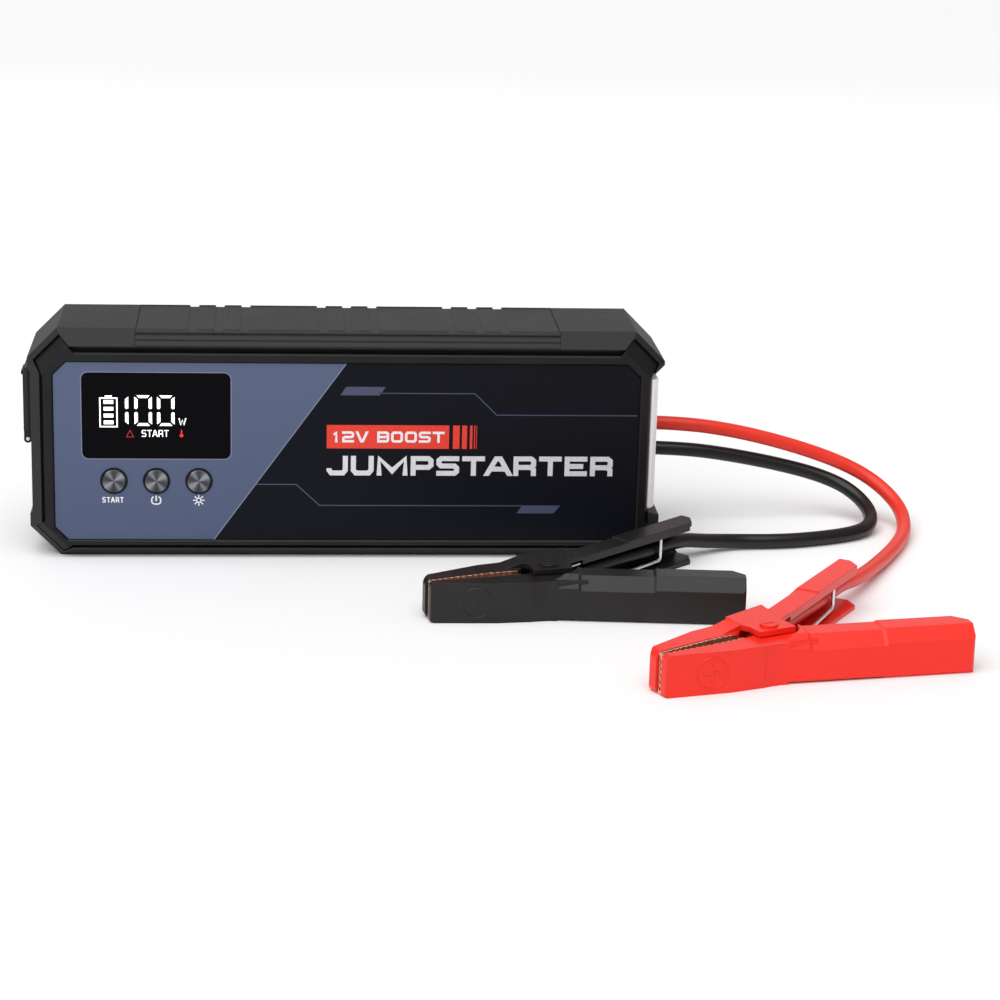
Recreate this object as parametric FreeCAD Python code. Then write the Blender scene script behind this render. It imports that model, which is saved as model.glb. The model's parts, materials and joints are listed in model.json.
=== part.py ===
import FreeCAD, Part

# Jump starter pack: a rugged battery box with a display, three buttons, a work light and covered ports,
# and a plug-in lead with two hand clamps. Millimetres, +Z up, the display side faces -Y, and the origin
# is the centre of the box's base. The lead leaves the back of the box and lies on the floor beside it.

import math
import os

V = FreeCAD.Vector

# ---------------------------------------------------------------- driving dimensions of the box
HALF_X = 132.5            # bumper, middle to corner
HALF_Y = 28.0             # bumper, front to back
TOP_Z = 97.5              # top of the bumper
BEVEL_Y = 5.0             # depth of the bumper's front and back bevels
LIP_X = 127.4             # front edge of the bumper's bevel
LIP_LOW = 4.2
LIP_HIGH = 90.8
SIDE_X = 131.4            # bumper's ends between the corner bumps

SHELL_X = 126.5           # outside of the two plastic shells
SHELL_LOW = 5.1
SHELL_HIGH = 88.7
WALL = 2.4
SPLIT_Y = -0.2            # where the shells meet
FLOOR_Y = -24.4           # front shell's outer face
BACK_Y = 26.4             # rear shell's outer face

PANEL_X = 121.8           # label plate, middle to side
PANEL_LOW = 8.0
PANEL_HIGH = 84.1
PANEL_CORNER = 5.4
PANEL_BACK_Y = -26.4
PANEL_FRONT_Y = -27.6

WINDOW = (-110.2, -48.9, 43.1, 79.7)       # display glass: left, right, bottom, top
BUTTON_X = (-97.3, -79.7, -62.1)
BUTTON_Z = 33.4
BUTTON_NAMES = ("start_button", "power_button", "light_button")
CAP_R = 4.9
BUTTON_TRAVEL = 0.6

SCREW_SPOTS = [(x, z) for x in (-112.0, 0.0, 112.0) for z in (13.0, 80.6)]
BOARD_SPOTS = [(x, z) for x in (-104.0, -38.0) for z in (25.0, 71.0)]

PAD_X = 88.0              # half length of the grip pad in the top
PAD_TOP = 97.0
GROOVE_GROUPS = (-54.0, 0.0, 54.0)
GROOVE_PITCH = 10.9

# ---------------------------------------------------------------- driving dimensions of the lead
CABLE_D = 6.2
PLUG_X = 109.0            # middle of the plug and its socket
PIN_Z = {"red": 43.2, "black": 31.6}
PIN_R = 2.5
PLUG_Y = 37.0             # height of the cables behind the box
PLUG_END_X = 122.5
PLUG_TRAVEL = 15.0

# ---------------------------------------------------------------- driving dimensions of a clamp
JAW_TIP = 50.0            # pivot to jaw tips
JAW_HIGH = 16.4
HANDLE_HIGH = 18.6
HANDLE_WIDE = 14.0
SKIN = 1.8
PIVOT_R = 2.2
NEAR_TURN = 16.0          # handle's splay from the jaws' line, on each lever
FAR_TURN = 32.0
NEAR_LENGTH = 77.5
FAR_LENGTH = 87.0
HEEL = 10.0               # back end of the jaw covers
NEAR_HEEL = (3.0, 13.5)   # where a lever's outer skin turns into its handle
FAR_HEEL = (0.0, 16.0)
TOOTH_PITCH = 2.6
CLAMP_PLACE = {"black": (78.3, -98.0, 11.0), "red": (154.3, -173.5, 25.5)}


# ---------------------------------------------------------------- shared shape helpers
def box(x0, x1, y0, y1, z0, z1):
    return Part.makeBox(x1 - x0, y1 - y0, z1 - z0, V(x0, y0, z0))


def prism(points, travel):
    """Extrudes a closed outline of 3-D points along a vector."""
    outline = Part.makePolygon([V(*p) for p in points] + [V(*points[0])])
    return Part.Face(outline).extrude(V(*travel))


def prism_y(outline, y0, y1):
    return prism([(x, y0, z) for x, z in outline], (0, y1 - y0, 0))


def prism_x(outline, x0, x1):
    return prism([(x0, y, z) for y, z in outline], (x1 - x0, 0, 0))


def prism_z(outline, z0, z1):
    return prism([(x, y, z0) for x, y in outline], (0, 0, z1 - z0))


def octagon(half_x, low, high, corner):
    """Outline in X and Z of a rectangle with its four corners cut at 45 degrees."""
    right = [(half_x - corner, low), (half_x, low + corner), (half_x, high - corner), (half_x - corner, high)]
    return right + [(-x, z) for x, z in reversed(right)]


def loft_y(outline_a, y_a, outline_b, y_b):
    wires = []
    for outline, y in ((outline_a, y_a), (outline_b, y_b)):
        points = [V(x, y, z) for x, z in outline]
        wires.append(Part.makePolygon(points + [points[0]]))
    return Part.makeLoft(wires, True, True)


def rod(start, end, radius):
    """Cylinder between two points."""
    run = V(*end) - V(*start)
    return Part.makeCylinder(radius, run.Length, V(*start), run)


def ring(start, end, outer, inner):
    return rod(start, end, outer).cut(rod(start, end, inner))


def rounded_block(x0, x1, y0, y1, z0, z1, radius, along):
    """Box with the four edges along one axis rounded."""
    block = box(x0, x1, y0, y1, z0, z1)
    axis = {"x": V(1, 0, 0), "y": V(0, 1, 0), "z": V(0, 0, 1)}[along]
    edges = [e for e in block.Edges if abs(e.tangentAt(e.FirstParameter).dot(axis)) > 0.99]
    return block.makeFillet(radius, edges)


def join(*shapes):
    """Fuses shapes into one solid."""
    whole = shapes[0].multiFuse(list(shapes[1:])).removeSplitter()
    return whole.Solids[0] if len(whole.Solids) == 1 else whole


def mirror_y(shape):
    return shape.mirror(V(0, 0, 0), V(0, 1, 0))


def tube(points, diameter):
    """Straight runs joined by tangent arcs, swept with a round section. Returns the solid and its radii."""
    corners = [V(*p) for p in points]
    edges = []
    radii = []
    start = corners[0]
    for before, corner, after in zip(corners, corners[1:], corners[2:]):
        run_in = (corner - before).normalize()
        run_out = (after - corner).normalize()
        half_turn = run_in.getAngle(run_out) / 2
        reach = 0.45 * min((corner - before).Length, (after - corner).Length)
        radius = reach / math.tan(half_turn)
        inward = (run_out - run_in).normalize()
        middle = corner + inward * (radius / math.cos(half_turn) - radius)
        arc_start = corner - run_in * reach
        arc_end = corner + run_out * reach
        edges.append(Part.LineSegment(start, arc_start).toShape())
        edges.append(Part.Arc(arc_start, middle, arc_end).toShape())
        radii.append(radius)
        start = arc_end
    edges.append(Part.LineSegment(start, corners[-1]).toShape())
    spine = Part.Wire(edges)
    section = Part.Wire(Part.Circle(corners[0], corners[1] - corners[0], diameter / 2).toShape())
    solid = spine.makePipeShell([section], True, False)
    drift = solid.Volume / (math.pi * diameter ** 2 / 4 * spine.Length) - 1
    print("tube: length %.1f, smallest radius %.1f, volume off by %.4f" % (spine.Length, min(radii), drift))
    return solid, spine.Length


def save(node, *shapes):
    """Writes one node: a solid, or several separate solids that share it."""
    solids = [solid for shape in shapes for solid in shape.Solids]
    for solid in solids:
        if not solid.isValid():
            print("NOT VALID:", node)
    whole = solids[0] if len(solids) == 1 else Part.makeCompound(solids)
    whole.exportStep("parts/%s.step" % node)
    print("%-24s solids %d  volume %.0f" % (node, len(solids), whole.Volume))


# ---------------------------------------------------------------- bumper, grip pad, bezel
# Corner notches, as steps in from the bumper's own corner: (along X, along Z) for the points A to D of
# the notch, then for the bezel's ear that fills it, then the sum of both steps at the bezel's corner.
NOTCH = {
    "top": [(17.3, 6.6), (13.3, 2.4), (2.4, 13.3), (5.4, 18.4)],
    "low": [(17.5, 4.3), (14.0, 2.2), (2.8, 13.4), (6.0, 15.5)],
}
EAR = {
    "top": [(19.9, 10.0), (13.3, 3.1), (3.1, 13.3), (6.7, 19.7)],
    "low": [(18.5, 6.3), (14.0, 2.9), (3.5, 13.4), (7.0, 16.7)],
}
BEZEL_STEP = {"top": 24.2, "low": 20.1}
EAR_SLOPE = 0.58          # how fast an ear falls back, per step away from the bezel


def corner_point(side, level, step):
    """Point in X and Z that lies a step in from one of the bumper's four outer corners."""
    z = TOP_Z - step[1] if level == "top" else step[1]
    return (side * (HALF_X - step[0]), z)


def corners():
    return [(side, level) for side in (-1, 1) for level in ("top", "low")]


def pad_outline(swell):
    """Section of the grip pad in Y and Z, front half: steps down the bumper's bevel."""
    along = V(0, -BEVEL_Y, LIP_HIGH - TOP_Z).normalize()
    outward = V(0, along.z, -along.y)
    edge = V(0, -HALF_Y + BEVEL_Y, TOP_Z)
    steps = [(0.3, 0.35), (2.2, 0.35), (2.5, -0.35), (3.1, -0.35), (3.4, 0.25), (5.2, 0.25),
             (5.4, -0.15), (5.7, -0.15), (5.9, 0.2), (8.0, 0.2), (8.0, -2.0)]
    if swell:
        steps = [(0.3, 3.0), (8.0, 3.0), (8.0, -2.0)]
    points = [edge + along * down + outward * out for down, out in steps]
    top = TOP_Z + 3 if swell else PAD_TOP
    return [(-HALF_Y + BEVEL_Y + 0.2, top)] + [(p.y, p.z) for p in points] + [(-21.0, 94.4)]


def pad_blank(swell=False):
    front = pad_outline(swell)
    back = [(-y, z) for y, z in reversed(front)]
    return prism_x(front + back, -PAD_X, PAD_X)


def make_bumper():
    outer = octagon(HALF_X, 0, TOP_Z, 12.5)
    lip = octagon(LIP_X, LIP_LOW, LIP_HIGH, 10.0)
    straight = prism_y(outer, -HALF_Y + BEVEL_Y, HALF_Y - BEVEL_Y)
    front = loft_y(lip, -HALF_Y, outer, -HALF_Y + BEVEL_Y)
    body = join(straight, front, mirror_y(front))
    cuts = [
        prism_y(octagon(127.2, 4.4, 90.6, 9.7), -29, FLOOR_Y),
        prism_y(octagon(SHELL_X + 0.1, SHELL_LOW - 0.1, SHELL_HIGH + 0.1, 9.0), FLOOR_Y, 29),
        prism_y([(-SIDE_X, 19), (-SIDE_X - 2, 17), (-SIDE_X - 2, 81), (-SIDE_X, 79)], -29, 29),
        prism_y([(SIDE_X, 19), (SIDE_X + 2, 17), (SIDE_X + 2, 81), (SIDE_X, 79)], -29, 29),
        prism_y([(126.0, 21), (133.5, 17.5), (133.5, 84), (126.0, 79)], -29, 14.5),
        box(-134, -126, -13, 13, 50, 77),
        pad_blank(swell=True),
    ]
    for side, level in corners():
        outline = [corner_point(side, level, step) for step in NOTCH[level] + [(24, 24)]]
        cuts.append(prism_y(outline, -29, -21.5))
    body = body.cut(Part.makeCompound(cuts[:1]))
    for cut in cuts[1:]:
        body = body.cut(cut)
    knuckle = rod((-133.6, -5.6, 47.6), (-133.6, 5.6, 47.6), 1.7)
    body = join(body, knuckle, box(-133.6, -131.0, -5.6, 5.6, 45.9, 48.6))
    return body.cut(rod((-133.6, -6, 47.6), (-133.6, 6, 47.6), 0.8))


def make_grip_pad():
    pad = pad_blank()
    for group in GROOVE_GROUPS:
        for step in (-1, 0, 1):
            x = group + step * GROOVE_PITCH
            groove = rounded_block(x - 1.9, x + 1.9, -30, 30, PAD_TOP - 0.45, PAD_TOP + 2, 0.4, "y")
            pad = pad.cut(groove)
    return pad


def make_bezel():
    outer = loft_y(octagon(125.6, 5.9, 87.5, 8.4), -28.4, octagon(126.3, 5.2, 88.2, 8.7), -27.6)
    outer = join(outer, prism_y(octagon(126.3, 5.2, 88.2, 8.7), -27.6, FLOOR_Y))
    for side, level in corners():
        middle = BEZEL_STEP[level] / 2 + 0.75
        steps = EAR[level] + [(middle - 3, middle + 3), (middle + 3, middle - 3)]
        ear = prism_y([corner_point(side, level, step) for step in steps], -28.4, -21.6)
        slope = []
        for total, spread in ((8, -40), (8, 40), (34, 40), (34, -40)):
            x, z = corner_point(side, level, (total / 2 + spread, total / 2 - spread))
            slope.append((x, -28.0 + (BEZEL_STEP[level] - total) * EAR_SLOPE, z))
        ear = ear.cut(prism(slope, (0, -60, 0)))
        shell_room = prism_y(octagon(SHELL_X + 0.1, SHELL_LOW - 0.1, SHELL_HIGH + 0.1, 9.0), FLOOR_Y, -20)
        outer = join(outer, ear.cut(shell_room))
    inner = octagon(PANEL_X + 0.1, PANEL_LOW - 0.1, PANEL_HIGH + 0.1, PANEL_CORNER)
    wide = octagon(PANEL_X + 0.8, PANEL_LOW - 0.8, PANEL_HIGH + 0.8, PANEL_CORNER + 0.3)
    return outer.cut(prism_y(inner, -30, -20)).cut(loft_y(wide, -28.5, inner, -27.7))


# ---------------------------------------------------------------- shells
def make_front_shell():
    outline = octagon(SHELL_X, SHELL_LOW, SHELL_HIGH, 9.0)
    inside = octagon(SHELL_X - WALL, SHELL_LOW + WALL, SHELL_HIGH - WALL, 8.0)
    island = prism_y(octagon(PANEL_X, PANEL_LOW, PANEL_HIGH, PANEL_CORNER), PANEL_BACK_Y, FLOOR_Y)
    body = prism_y(outline, FLOOR_Y, SPLIT_Y).cut(prism_y(inside, FLOOR_Y + 2.0, SPLIT_Y))
    bosses = [rod((x, FLOOR_Y + 1, z), (x, SPLIT_Y, z), 3.5) for x, z in SCREW_SPOTS]
    body = join(body, island, *bosses)
    for x, z in SCREW_SPOTS:
        body = body.cut(rod((x, -16, z), (x, SPLIT_Y, z), 1.35))
    left, right, low, high = WINDOW
    body = body.cut(box(left + 2, right - 2, -27, -20, low + 2, high - 2))
    for x in BUTTON_X:
        body = body.cut(rod((x, -27, BUTTON_Z), (x, -20, BUTTON_Z), 5.2))
    body = body.cut(box(-128, -122, -12, SPLIT_Y, 51, 76))
    return body.cut(box(122, 128, -16, SPLIT_Y, 28, 72))


def make_rear_shell():
    outline = octagon(SHELL_X, SHELL_LOW, SHELL_HIGH, 9.0)
    inside = octagon(SHELL_X - WALL, SHELL_LOW + WALL, SHELL_HIGH - WALL, 8.0)
    body = prism_y(outline, SPLIT_Y, BACK_Y).cut(prism_y(inside, SPLIT_Y, BACK_Y - 2.2))
    bosses = [rod((x, SPLIT_Y, z), (x, BACK_Y - 1, z), 3.9) for x, z in SCREW_SPOTS]
    bosses += [rod((x, -4.2, z), (x, BACK_Y - 1, z), 3.0) for x, z in BOARD_SPOTS]
    body = join(body, *bosses)
    for x, z in SCREW_SPOTS:
        body = body.cut(rod((x, SPLIT_Y, z), (x, 27, z), 1.7)).cut(rod((x, 23.4, z), (x, 27, z), 3.1))
    for x, z in BOARD_SPOTS:
        body = body.cut(rod((x, -4.2, z), (x, 6, z), 1.0))
    body = body.cut(box(98.4, 119.6, 20, 28, 24.4, 49.6))
    body = body.cut(box(-60, 30, BACK_Y - 0.6, 27, 22, 48))
    for index in range(5):
        z = 56 + index * 4.5
        body = body.cut(rounded_block(-92, 76, BACK_Y - 0.8, 28, z, z + 2.2, 0.7, "y"))
    body = body.cut(box(-128, -122, SPLIT_Y, 12, 51, 76))
    return body.cut(box(122, 128, SPLIT_Y, 8, 28, 72))


# ---------------------------------------------------------------- display side
def make_label_plate():
    plate = prism_y(octagon(PANEL_X - 0.1, PANEL_LOW + 0.1, PANEL_HIGH - 0.1, PANEL_CORNER),
                    PANEL_FRONT_Y, PANEL_BACK_Y)
    left, right, low, high = WINDOW
    plate = plate.cut(rounded_block(left, right, -29, -25, low, high, 2.7, "y"))
    for x in BUTTON_X:
        plate = plate.cut(rod((x, -29, BUTTON_Z), (x, -25, BUTTON_Z), 5.7))
    return plate


def make_window():
    left, right, low, high = WINDOW
    return rounded_block(left + 0.1, right - 0.1, -27.75, PANEL_BACK_Y, low + 0.1, high - 0.1, 2.6, "y")


def make_button(x):
    """Dished metal cap with a short stem that meets its switch at the end of the stroke."""
    cap = rod((x, -28.5, BUTTON_Z), (x, -26.0, BUTTON_Z), CAP_R)
    rim = [e for e in cap.Edges if abs(e.BoundBox.YMax + 28.5) < 0.01 and abs(e.BoundBox.YMin + 28.5) < 0.01]
    cap = cap.makeChamfer(0.35, rim)
    dish = Part.makeSphere(30, V(x, -28.15 - 30, BUTTON_Z))
    return join(cap.cut(dish), rod((x, -26.1, BUTTON_Z), (x, -25.5, BUTTON_Z), 1.6))


# ---------------------------------------------------------------- ports and their cover
def make_port_panel():
    panel = box(-129.6, -126.6, -12.8, 12.8, 50.2, 76.8)
    panel = panel.cut(box(-130, -126, -6.7, 6.7, 67.5, 73.5))
    return panel.cut(box(-130, -126, -4.7, 4.7, 56.2, 59.8))


def make_usb_port(half_y, z, high, tongue):
    """Metal sleeve with its contact tongue, open at the left end."""
    sleeve = box(-129.4, -115, -half_y, half_y, z - high / 2, z + high / 2)
    hollow = box(-130, -118, -half_y + 0.45, half_y - 0.45, z - high / 2 + 0.45, z + high / 2 - 0.45)
    blade = box(-128.2, -117.5, -half_y + 1.2, half_y - 1.2, z - tongue / 2, z + tongue / 2)
    return join(sleeve.cut(hollow), blade)


def make_port_cover():
    plate = box(-135.4, -131.6, -14.5, 14.5, 49, 79)
    outer_edges = [e for e in plate.Edges if e.BoundBox.XMax < -135.3]
    plate = plate.makeChamfer(2.0, outer_edges)
    plug = box(-131.6, -129.9, -12.4, 12.4, 51.7, 76.4)
    grip = box(-136.6, -135.2, -6, 6, 73.5, 75.0)
    whole = join(plate, plug, grip)
    for y0, y1 in ((-13.6, -6.0), (6.0, 13.6)):
        knuckle = rod((-133.6, y0, 47.6), (-133.6, y1, 47.6), 1.7)
        web = box(-135.2, -133.4, y0, y1, 47.6, 51.5)
        whole = join(whole, knuckle, web)
    whole = whole.cut(rod((-133.6, -5.9, 47.6), (-133.6, 5.9, 47.6), 2.0))
    return whole.cut(rod((-133.6, -15, 47.6), (-133.6, 15, 47.6), 0.85))


# ---------------------------------------------------------------- socket and plug
def make_socket():
    block = box(98.5, 119.5, 14.9, 27.6, 24.5, 49.5)
    block = block.cut(rounded_block(101, 117, 21.6, 29, 27.2, 47.6, 1.5, "y"))
    for z in PIN_Z.values():
        block = block.cut(rod((PLUG_X, 14, z), (PLUG_X, 22, z), 3.4))
    return block


def make_contact(z):
    tube_end = ring((PLUG_X, 14.9, z), (PLUG_X, 21.6, z), 3.4, PIN_R + 0.05)
    return join(tube_end, rod((PLUG_X, 14.9, z), (PLUG_X, 15.9, z), 3.4))


def make_plug():
    body = rounded_block(98, PLUG_END_X, 27.9, 46, 24.5, 50.3, 4.0, "x")
    nose = rounded_block(101.2, 116.8, 22, 28.2, 27.4, 47.4, 1.4, "y")
    whole = join(body, nose)
    for x in (101.5, 104.5, 107.5, 110.5):
        whole = whole.cut(box(x, x + 1.3, 45.3, 47, 30, 45))
    for z in PIN_Z.values():
        whole = whole.cut(rod((PLUG_X, 21, z), (PLUG_X, 34, z), PIN_R))
    return whole


def make_boot(z):
    """Tapered strain relief round one cable."""
    cone = Part.makeCone(5.3, 4.0, 10, V(PLUG_END_X, PLUG_Y, z), V(1, 0, 0))
    for index in range(3):
        x = PLUG_END_X + 2.4 + index * 2.5
        cone = cone.cut(ring((x, PLUG_Y, z), (x + 0.9, PLUG_Y, z), 7, 3.9))
    return cone.cut(rod((PLUG_END_X - 1, PLUG_Y, z), (PLUG_END_X + 12, PLUG_Y, z), CABLE_D / 2 + 0.1))


# ---------------------------------------------------------------- clamps
# A clamp is drawn with its pivot at the origin and its jaw tips towards -X, lying on the floor. The far
# lever is on the +Y side. The near lever is drawn there too and then mirrored.
def along_handle(heel, turn, distance, depth):
    """Point beside the handle: distance along its outer skin, depth in from it."""
    angle = math.radians(turn)
    x = -heel[0] + distance * math.cos(angle) + depth * math.sin(angle)
    y = heel[1] + distance * math.sin(angle) - depth * math.cos(angle)
    return (x, y)


def on_handle(shape, heel, turn):
    """Carries a shape drawn with X along the handle and Y inward from its skin to its place."""
    mirrored = shape.mirror(V(0, 0, 0), V(0, 1, 0))
    mirrored.rotate(V(0, 0, 0), V(0, 0, 1), turn)
    mirrored.translate(V(-heel[0], heel[1], 0))
    return mirrored


def make_handle(length, start):
    """Channel, open inward, with bevelled outer edges, a sunk stretch for the fingers and a lipped rim."""
    wide = HANDLE_WIDE
    high = HANDLE_HIGH
    outside = [(wide, 0), (1.2, 0), (0, 1.2), (0, high - 5.0), (4.4, high), (wide, high)]
    inside = [(wide + 1, SKIN), (2.8, SKIN), (SKIN, 2.8), (SKIN, high - 5.8), (5.2, high - SKIN),
              (wide + 1, high - SKIN)]
    channel = prism_x(outside, start, length).cut(prism_x(inside, start - 1, length + 1))
    channel = join(channel, box(12.0, length - 6, wide - 1.8, wide, high - 3.6, high - 1))
    inner_corner = [(length - 6, wide + 1), (length + 1, wide + 1), (length + 1, wide - 6)]
    channel = channel.cut(prism_z(inner_corner, -1, 30))
    channel = channel.cut(prism_z([(length - 2, -1), (length + 1, -1), (length + 1, 2)], -1, 30))
    sunk = 0.55
    slant = math.hypot(4.4, 5.0)
    over_top = [(11.2, 1), (11.2, 0), (12.2, -sunk), (41.0, -sunk), (42.0, 0), (42.0, 1)]
    top = prism_y([(s, high + n) for s, n in over_top], 3.6, wide + 1)
    bevel = []
    for s, n in over_top:
        bevel.append((s, -0.4 - n * 5.0 / slant, high - 5.5 + n * 4.4 / slant))
    channel = channel.cut(top).cut(prism(bevel, (0, 5.3, 6.0)))
    under = prism_y([(3, -1), (3, 0.2), (4, 0.8), (40, 0.8), (42, 0), (42, -1)], -1, 9)
    return channel.cut(under)


def offset_line(line, shift):
    """The same line of (x, y) points, moved across by a distance."""
    return [(x, y + shift) for x, y in line]


def make_lever(side, ears):
    """One lever: jaw cover, hinge ears, skin round the hinge, and the handle channel."""
    heel, turn, length = side["heel"], side["turn"], side["length"]
    inner, outer = side["inner"], side["outer"]
    cover = prism_z(inner + outer[::-1], 0, JAW_HIGH)
    for z0, z1 in ((0.0, 3.0), (JAW_HIGH, JAW_HIGH - 3.0)):
        corner = box(-JAW_TIP - 2, -JAW_TIP + 2.2, -10, 20, min(z0, z1) - 1, max(z0, z1) + 1)
        corner = corner.common(box(-JAW_TIP - 2, -JAW_TIP + 2.2, -10, 20, min(z0, z1), max(z0, z1)))
        cover = cover.cut(corner.cut(rod((-JAW_TIP + 2.2, -11, z1), (-JAW_TIP + 2.2, 21, z1), 3.0)))
    pocket = [(x, y) for x, y in offset_line(inner, 3.6)]
    pocket[0] = (-JAW_TIP + 1.2, pocket[0][1] - 0.8)
    pocket[-1] = (-HEEL - 1.6, pocket[-1][1])
    mouth = offset_line(inner, -1)
    mouth[0] = (-JAW_TIP + 1.2, mouth[0][1])
    mouth[-1] = (-HEEL - 1.6, mouth[-1][1])
    cover = cover.cut(prism_z(mouth + pocket[::-1], SKIN, JAW_HIGH - SKIN))
    start = along_handle(heel, turn, 3.0, 0)
    start_in = along_handle(heel, turn, 3.0, 2.2)
    root = outer[-1]
    skin_outer = [(root[0] - 1, root[1] - 0.3), (-heel[0], heel[1]), start]
    skin_inner = [start_in, (-heel[0] + 0.5, heel[1] - 2.2), (root[0] - 1, root[1] - 2.4)]
    skin = prism_z(skin_outer + skin_inner, 0, JAW_HIGH)
    handle = on_handle(make_handle(length, 2.0), heel, turn)
    for z0, z1, radius in side["reliefs"]:
        handle = handle.cut(rod((0, 0, z0), (0, 0, z1), radius))
    pieces = [cover, skin, handle]
    for outline, z0, z1 in ears:
        pieces.append(prism_z(outline, z0, z1))
    whole = join(*pieces)
    return whole.cut(rod((0, 0, -1), (0, 0, 30), PIVOT_R + (0.05 if heel is NEAR_HEEL else 0.0)))


def round_ear(radius, tail):
    """Outline of an ear: a rounded nose about the pivot that widens into a lever's skin."""
    angles = [math.radians(180 + 22.5 * n) for n in range(9)]
    nose = [(radius * math.cos(a), radius * math.sin(a)) for a in angles]
    return nose + tail


# Each lever's jaw cover as seen from above: its inner and outer edges from tip to root. The far cover is
# broad at its root and the throat between the covers opens towards the pivot.
FAR_SIDE = {
    "heel": FAR_HEEL, "turn": FAR_TURN, "length": FAR_LENGTH, "reliefs": [],
    "inner": [(-JAW_TIP - 0.8, -1.3), (-25.0, 3.2), (-HEEL, 4.6)],
    "outer": [(-JAW_TIP - 0.8, 3.0), (-48.4, 5.0), (-26.0, 13.2), (-HEEL, 16.0)],
}
NEAR_SIDE = {
    "heel": NEAR_HEEL, "turn": NEAR_TURN, "length": NEAR_LENGTH,
    "reliefs": [(HANDLE_HIGH - SKIN - 0.15, 30, 11.4), (-1, 2.7, 9.8)],
    "inner": [(-JAW_TIP, 3.7), (-25.0, 3.0), (-HEEL, 1.8)],
    "outer": [(-JAW_TIP, 7.0), (-24.0, 12.2), (-HEEL, 13.4)],
}


def make_far_lever():
    tail = [(12.0, 22.0), (-HEEL - 0.5, 15.6)]
    top = [(-7.6, -5.2), (8.8, -5.2), (8.8, 3.5), (12.0, 22.0)]
    top += [(-HEEL + 1, 15.6), (-HEEL + 1, 4.8), (-7.6, 2.0)]
    ears = [(round_ear(9.0, tail), 0.0, 2.4), (top, JAW_HIGH + 0.4, JAW_HIGH + 2.6)]
    ramp_side = [(-17.0, JAW_HIGH - 0.2), (-17.0, JAW_HIGH)]
    ramp_side += [(-HEEL + 1.2, JAW_HIGH + 2.6), (-HEEL + 1.2, JAW_HIGH - 0.2)]
    ramp = prism_y(ramp_side, 5.2, 14.2)
    return join(make_lever(FAR_SIDE, ears), ramp)


def make_near_lever():
    tail = [(12.0, 15.5), (-HEEL - 0.5, 12.6), (-HEEL - 0.5, 2.2)]
    ears = [(round_ear(6.0, tail), 2.8, 5.2), (round_ear(6.0, tail), JAW_HIGH - 2.2, JAW_HIGH)]
    return mirror_y(make_lever(NEAR_SIDE, ears))


def add_badge(lever, side, plus):
    """Raised ring on the jaw cover with an upright bar, and a level bar that makes it a plus."""
    (x0, y0), (x1, y1) = side["outer"][-3:-1]
    slope = math.atan2(y1 - y0, x1 - x0)
    middle = V(-32.2, y0 + (-32.2 - x0) * math.tan(slope), JAW_HIGH / 2)
    badge = ring((0, -0.6, 0), (0, 0.35, 0), 6.4, 5.7)
    parts = [badge, box(-0.5, 0.5, -0.6, 0.35, -3.4, 3.4)]
    if plus:
        parts.append(box(-3.4, 3.4, -0.6, 0.35, -0.5, 0.5))
    for part in parts:
        part.rotate(V(0, 0, 0), V(0, 0, 1), math.degrees(slope))
        part.translate(middle)
        lever = join(lever, part if side is FAR_SIDE else mirror_y(part))
    return lever


def make_jaw(side):
    """Toothed copper liner: a band in the cover's pocket with its toothed edge standing out."""
    inner = side["inner"]
    low = SKIN + 0.05
    high = JAW_HIGH - SKIN - 0.05
    tip = -JAW_TIP + 0.3
    root = -HEEL - 1.7
    edge = [(tip, inner[0][1] - 1.1), (inner[1][0], inner[1][1] - 1.1), (root, inner[2][1] - 1.3)]
    rim = [(tip, inner[0][1] - 0.05), (inner[1][0], inner[1][1] - 0.05), (root, inner[2][1] - 0.25)]
    deep = [(tip + 1.0, inner[0][1] - 0.3), (tip + 1.0, inner[0][1] + 1.6),
            (inner[1][0], inner[1][1] + 3.4), (root, inner[2][1] + 3.2), (root, inner[2][1] - 0.5)]
    band = prism_z(edge + rim[::-1], 0.5, JAW_HIGH - 0.25)
    seat = prism_z(deep[:1] + [(inner[1][0], inner[1][1] - 0.3)] + deep[:0:-1], low, high)
    body = join(band, seat)
    for (x0, y0), (x1, y1) in zip(edge, edge[1:]):
        long = math.hypot(x1 - x0, y1 - y0)
        along = ((x1 - x0) / long, (y1 - y0) / long)
        count = int((long - 0.6) / TOOTH_PITCH)
        for index in range(count):
            near = 0.5 + index * TOOTH_PITCH
            outline = []
            for s, depth in ((near, -0.3), (near + 0.3, 0.0), (near + TOOTH_PITCH / 2, 0.85),
                             (near + TOOTH_PITCH - 0.3, 0.0), (near + TOOTH_PITCH, -0.3)):
                outline.append((x0 + along[0] * s - along[1] * depth, y0 + along[1] * s + along[0] * depth))
            body = body.cut(prism_z(outline, 0, 20))
    z = 1.4
    while z < JAW_HIGH - TOOTH_PITCH:
        y = inner[0][1] - 1.4
        valley = [(tip - 0.5, y, z), (tip - 0.5, y, z + TOOTH_PITCH * 0.8)]
        valley.append((tip - 0.5, y + 0.9, z + TOOTH_PITCH * 0.4))
        body = body.cut(prism(valley, (2.6, 0, 0)))
        z += TOOTH_PITCH
    return body


def make_pivot():
    top = JAW_HIGH + 2.6
    head = rod((0, 0, top), (0, 0, top + 0.9), 3.5)
    slot = box(-2.4, 2.4, -0.4, 0.4, top + 0.5, top + 2)
    return join(rod((0, 0, 0.2), (0, 0, top), PIVOT_R), head.cut(slot))


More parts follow.
